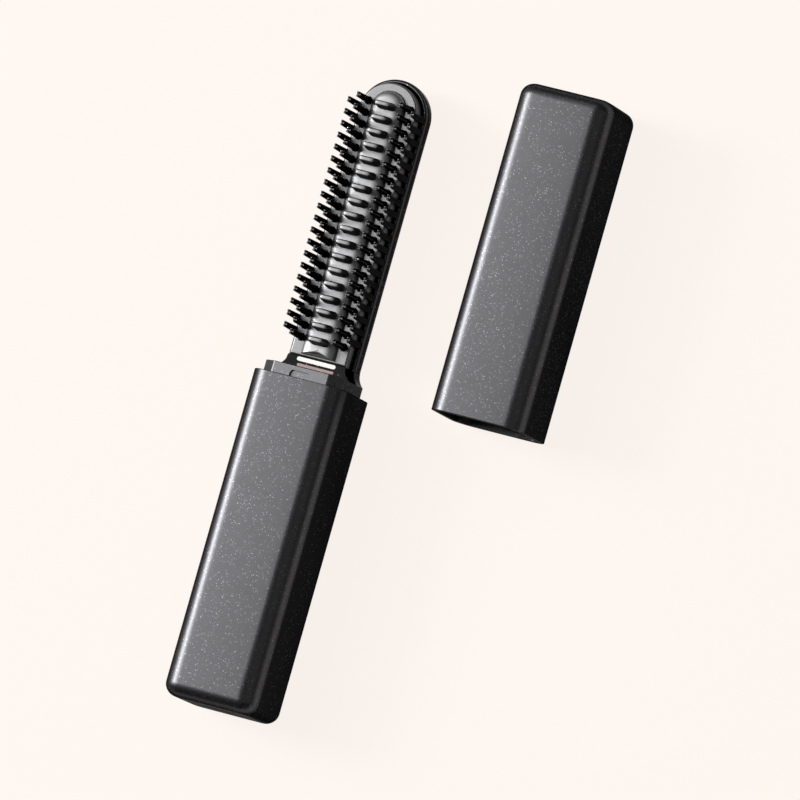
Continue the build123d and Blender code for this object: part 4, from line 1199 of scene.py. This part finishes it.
# %% Power button
FLANGE, FLANGE_THICKNESS, FLANGE_EDGE, BUTTON_EDGE, FACE_STEP = 1.1, 0.8, 0.1, 0.4, 2.0
face, back = -button_low[0], -button_high[0]
button_profile = soften([(0, back), (0, back + FLANGE_THICKNESS),
                         (FLANGE, back + FLANGE_THICKNESS), (FLANGE, face),
                         (FLANGE + FACE_STEP, face)], (FLANGE_EDGE, FLANGE_EDGE, BUTTON_EDGE),
                        steps=6)
button_outline = pill(button_high[1] - button_low[1], button_high[2] - button_low[2])
button = facing_left(carried(button_outline, button_profile), y=button_y, z=axis_z)
piece("smooth_button", [sheet_of(button)], "button", "button_black", ["power_button"])

# %% [markdown]
# ## The lamps
#
# A dark satin tube shows its shape only by what it mirrors, so the lamps are large rectangles and
# no points. A wide one on the left makes the slow fade over the sides, with a small bright core
# lower down for the thin highlight on the left edge. A faint one on the right keeps the other
# side from going black, and one beyond the tip lights the fins' far sides. Each lamp is set by
# its radiance, so its size can be changed without changing how bright it looks in a reflection.

# %% Lamps
middle_of_all = np.array([cap_x / 2, rim, axis_z])


def area_light(name, direction, reach, size, radiance):
    """A rectangular lamp that far away in a direction, turned to the middle of all, its radiance
    set by its power over four times its area."""
    lamp = bpy.data.lights.new(name, "AREA")
    lamp.shape, lamp.size, lamp.size_y = "RECTANGLE", size[0], size[1]
    lamp.energy = radiance * 4 * size[0] * size[1]
    direction = np.asarray(direction, float) / np.linalg.norm(direction)
    side = np.cross([0.0, 1.0, 0.0], direction)
    side /= np.linalg.norm(side)
    matrix = np.eye(4)
    matrix[:3, 0], matrix[:3, 1], matrix[:3, 2] = side, np.cross(direction, side), direction
    matrix[:3, 3] = middle_of_all * MM + reach * direction
    thing = bpy.data.objects.new(name, lamp)
    thing.matrix_world = Matrix(matrix)
    bpy.context.scene.collection.objects.link(thing)
    print(name, "lamp", round(lamp.energy, 1), "W")


def from_side(degrees, forward=0.06):
    """Direction that leans that far from straight up, to the left or (negative) to the right."""
    tilt = math.radians(degrees)
    return (-math.sin(tilt), forward, math.cos(tilt))


area_light("key", from_side(41.5, forward=0.12), reach=3.0, size=(3.0, 1.3), radiance=4.4)
area_light("key_core", from_side(53), reach=2.9, size=(0.8, 0.7), radiance=34.0)
area_light("fill", from_side(-45), reach=3.0, size=(2.4, 2.4), radiance=0.22)
area_light("top", (-0.25, 0.62, 0.74), reach=3.0, size=(2.0, 1.2), radiance=0.7)

# %% [markdown]
# ## Floor and world
#
# Comb and cap lie on a pale sheet. Bright lamps could make it pale, but they would wash out the
# object too. So its material glows in its own colour for the camera's rays and for mirrored and
# refracted ones, and is plain matt for light itself. A small share of the matt sheet stays in
# view and keeps the shadow. The world adds a faint even light.

# %% Floor and world
BACKGROUND, GLOW_SHARE, WORLD_LEVEL = (0.982, 0.921, 0.871), 0.94, 0.06
FLOOR_HALF, FLOOR_DROP = 4, 0.0002    # metres
world = bpy.data.worlds.new("studio")
bpy.context.scene.world = world
world.use_nodes = True
world.node_tree.nodes["Background"].inputs["Color"].default_value = (*[WORLD_LEVEL] * 3, 1.0)
bpy.context.scene.view_settings.view_transform = "Standard"

pale = Finish("floor_pale", roughness=0.9, base_color=(*BACKGROUND, 1.0), specular_ior_level=0.0)
rays = [pale.node("ShaderNodeLightPath", {}, {}, kind)
        for kind in ("Is Camera Ray", "Is Glossy Ray", "Is Transmission Ray")]
seen = (rays[0] + rays[1] + rays[2]).math("MINIMUM", 1.0) * GLOW_SHARE
glow = pale.node("ShaderNodeEmission", {}, {"Color": (*BACKGROUND, 1.0), "Strength": 1.0})
shader = pale.node("ShaderNodeMixShader", {}, {0: seen, 1: Wire(pale, pale.surface.outputs[0]),
                                              2: glow})
pale.tree.links.new(shader.socket, pale.tree.nodes["Material Output"].inputs["Surface"])

floor_corners = [(x * FLOOR_HALF, y * FLOOR_HALF, 0)
                 for x, y in ((-1, -1), (1, -1), (1, 1), (-1, 1))]
floor_mesh = bpy.data.meshes.new("floor")
floor_mesh.from_pydata(floor_corners, [], [(0, 1, 2, 3)])
floor_mesh.materials.append(pale.material)
floor = bpy.data.objects.new("floor", floor_mesh)
floor.location.z = -FLOOR_DROP
bpy.context.scene.collection.objects.link(floor)
print("floor", 2 * FLOOR_HALF, "m wide")
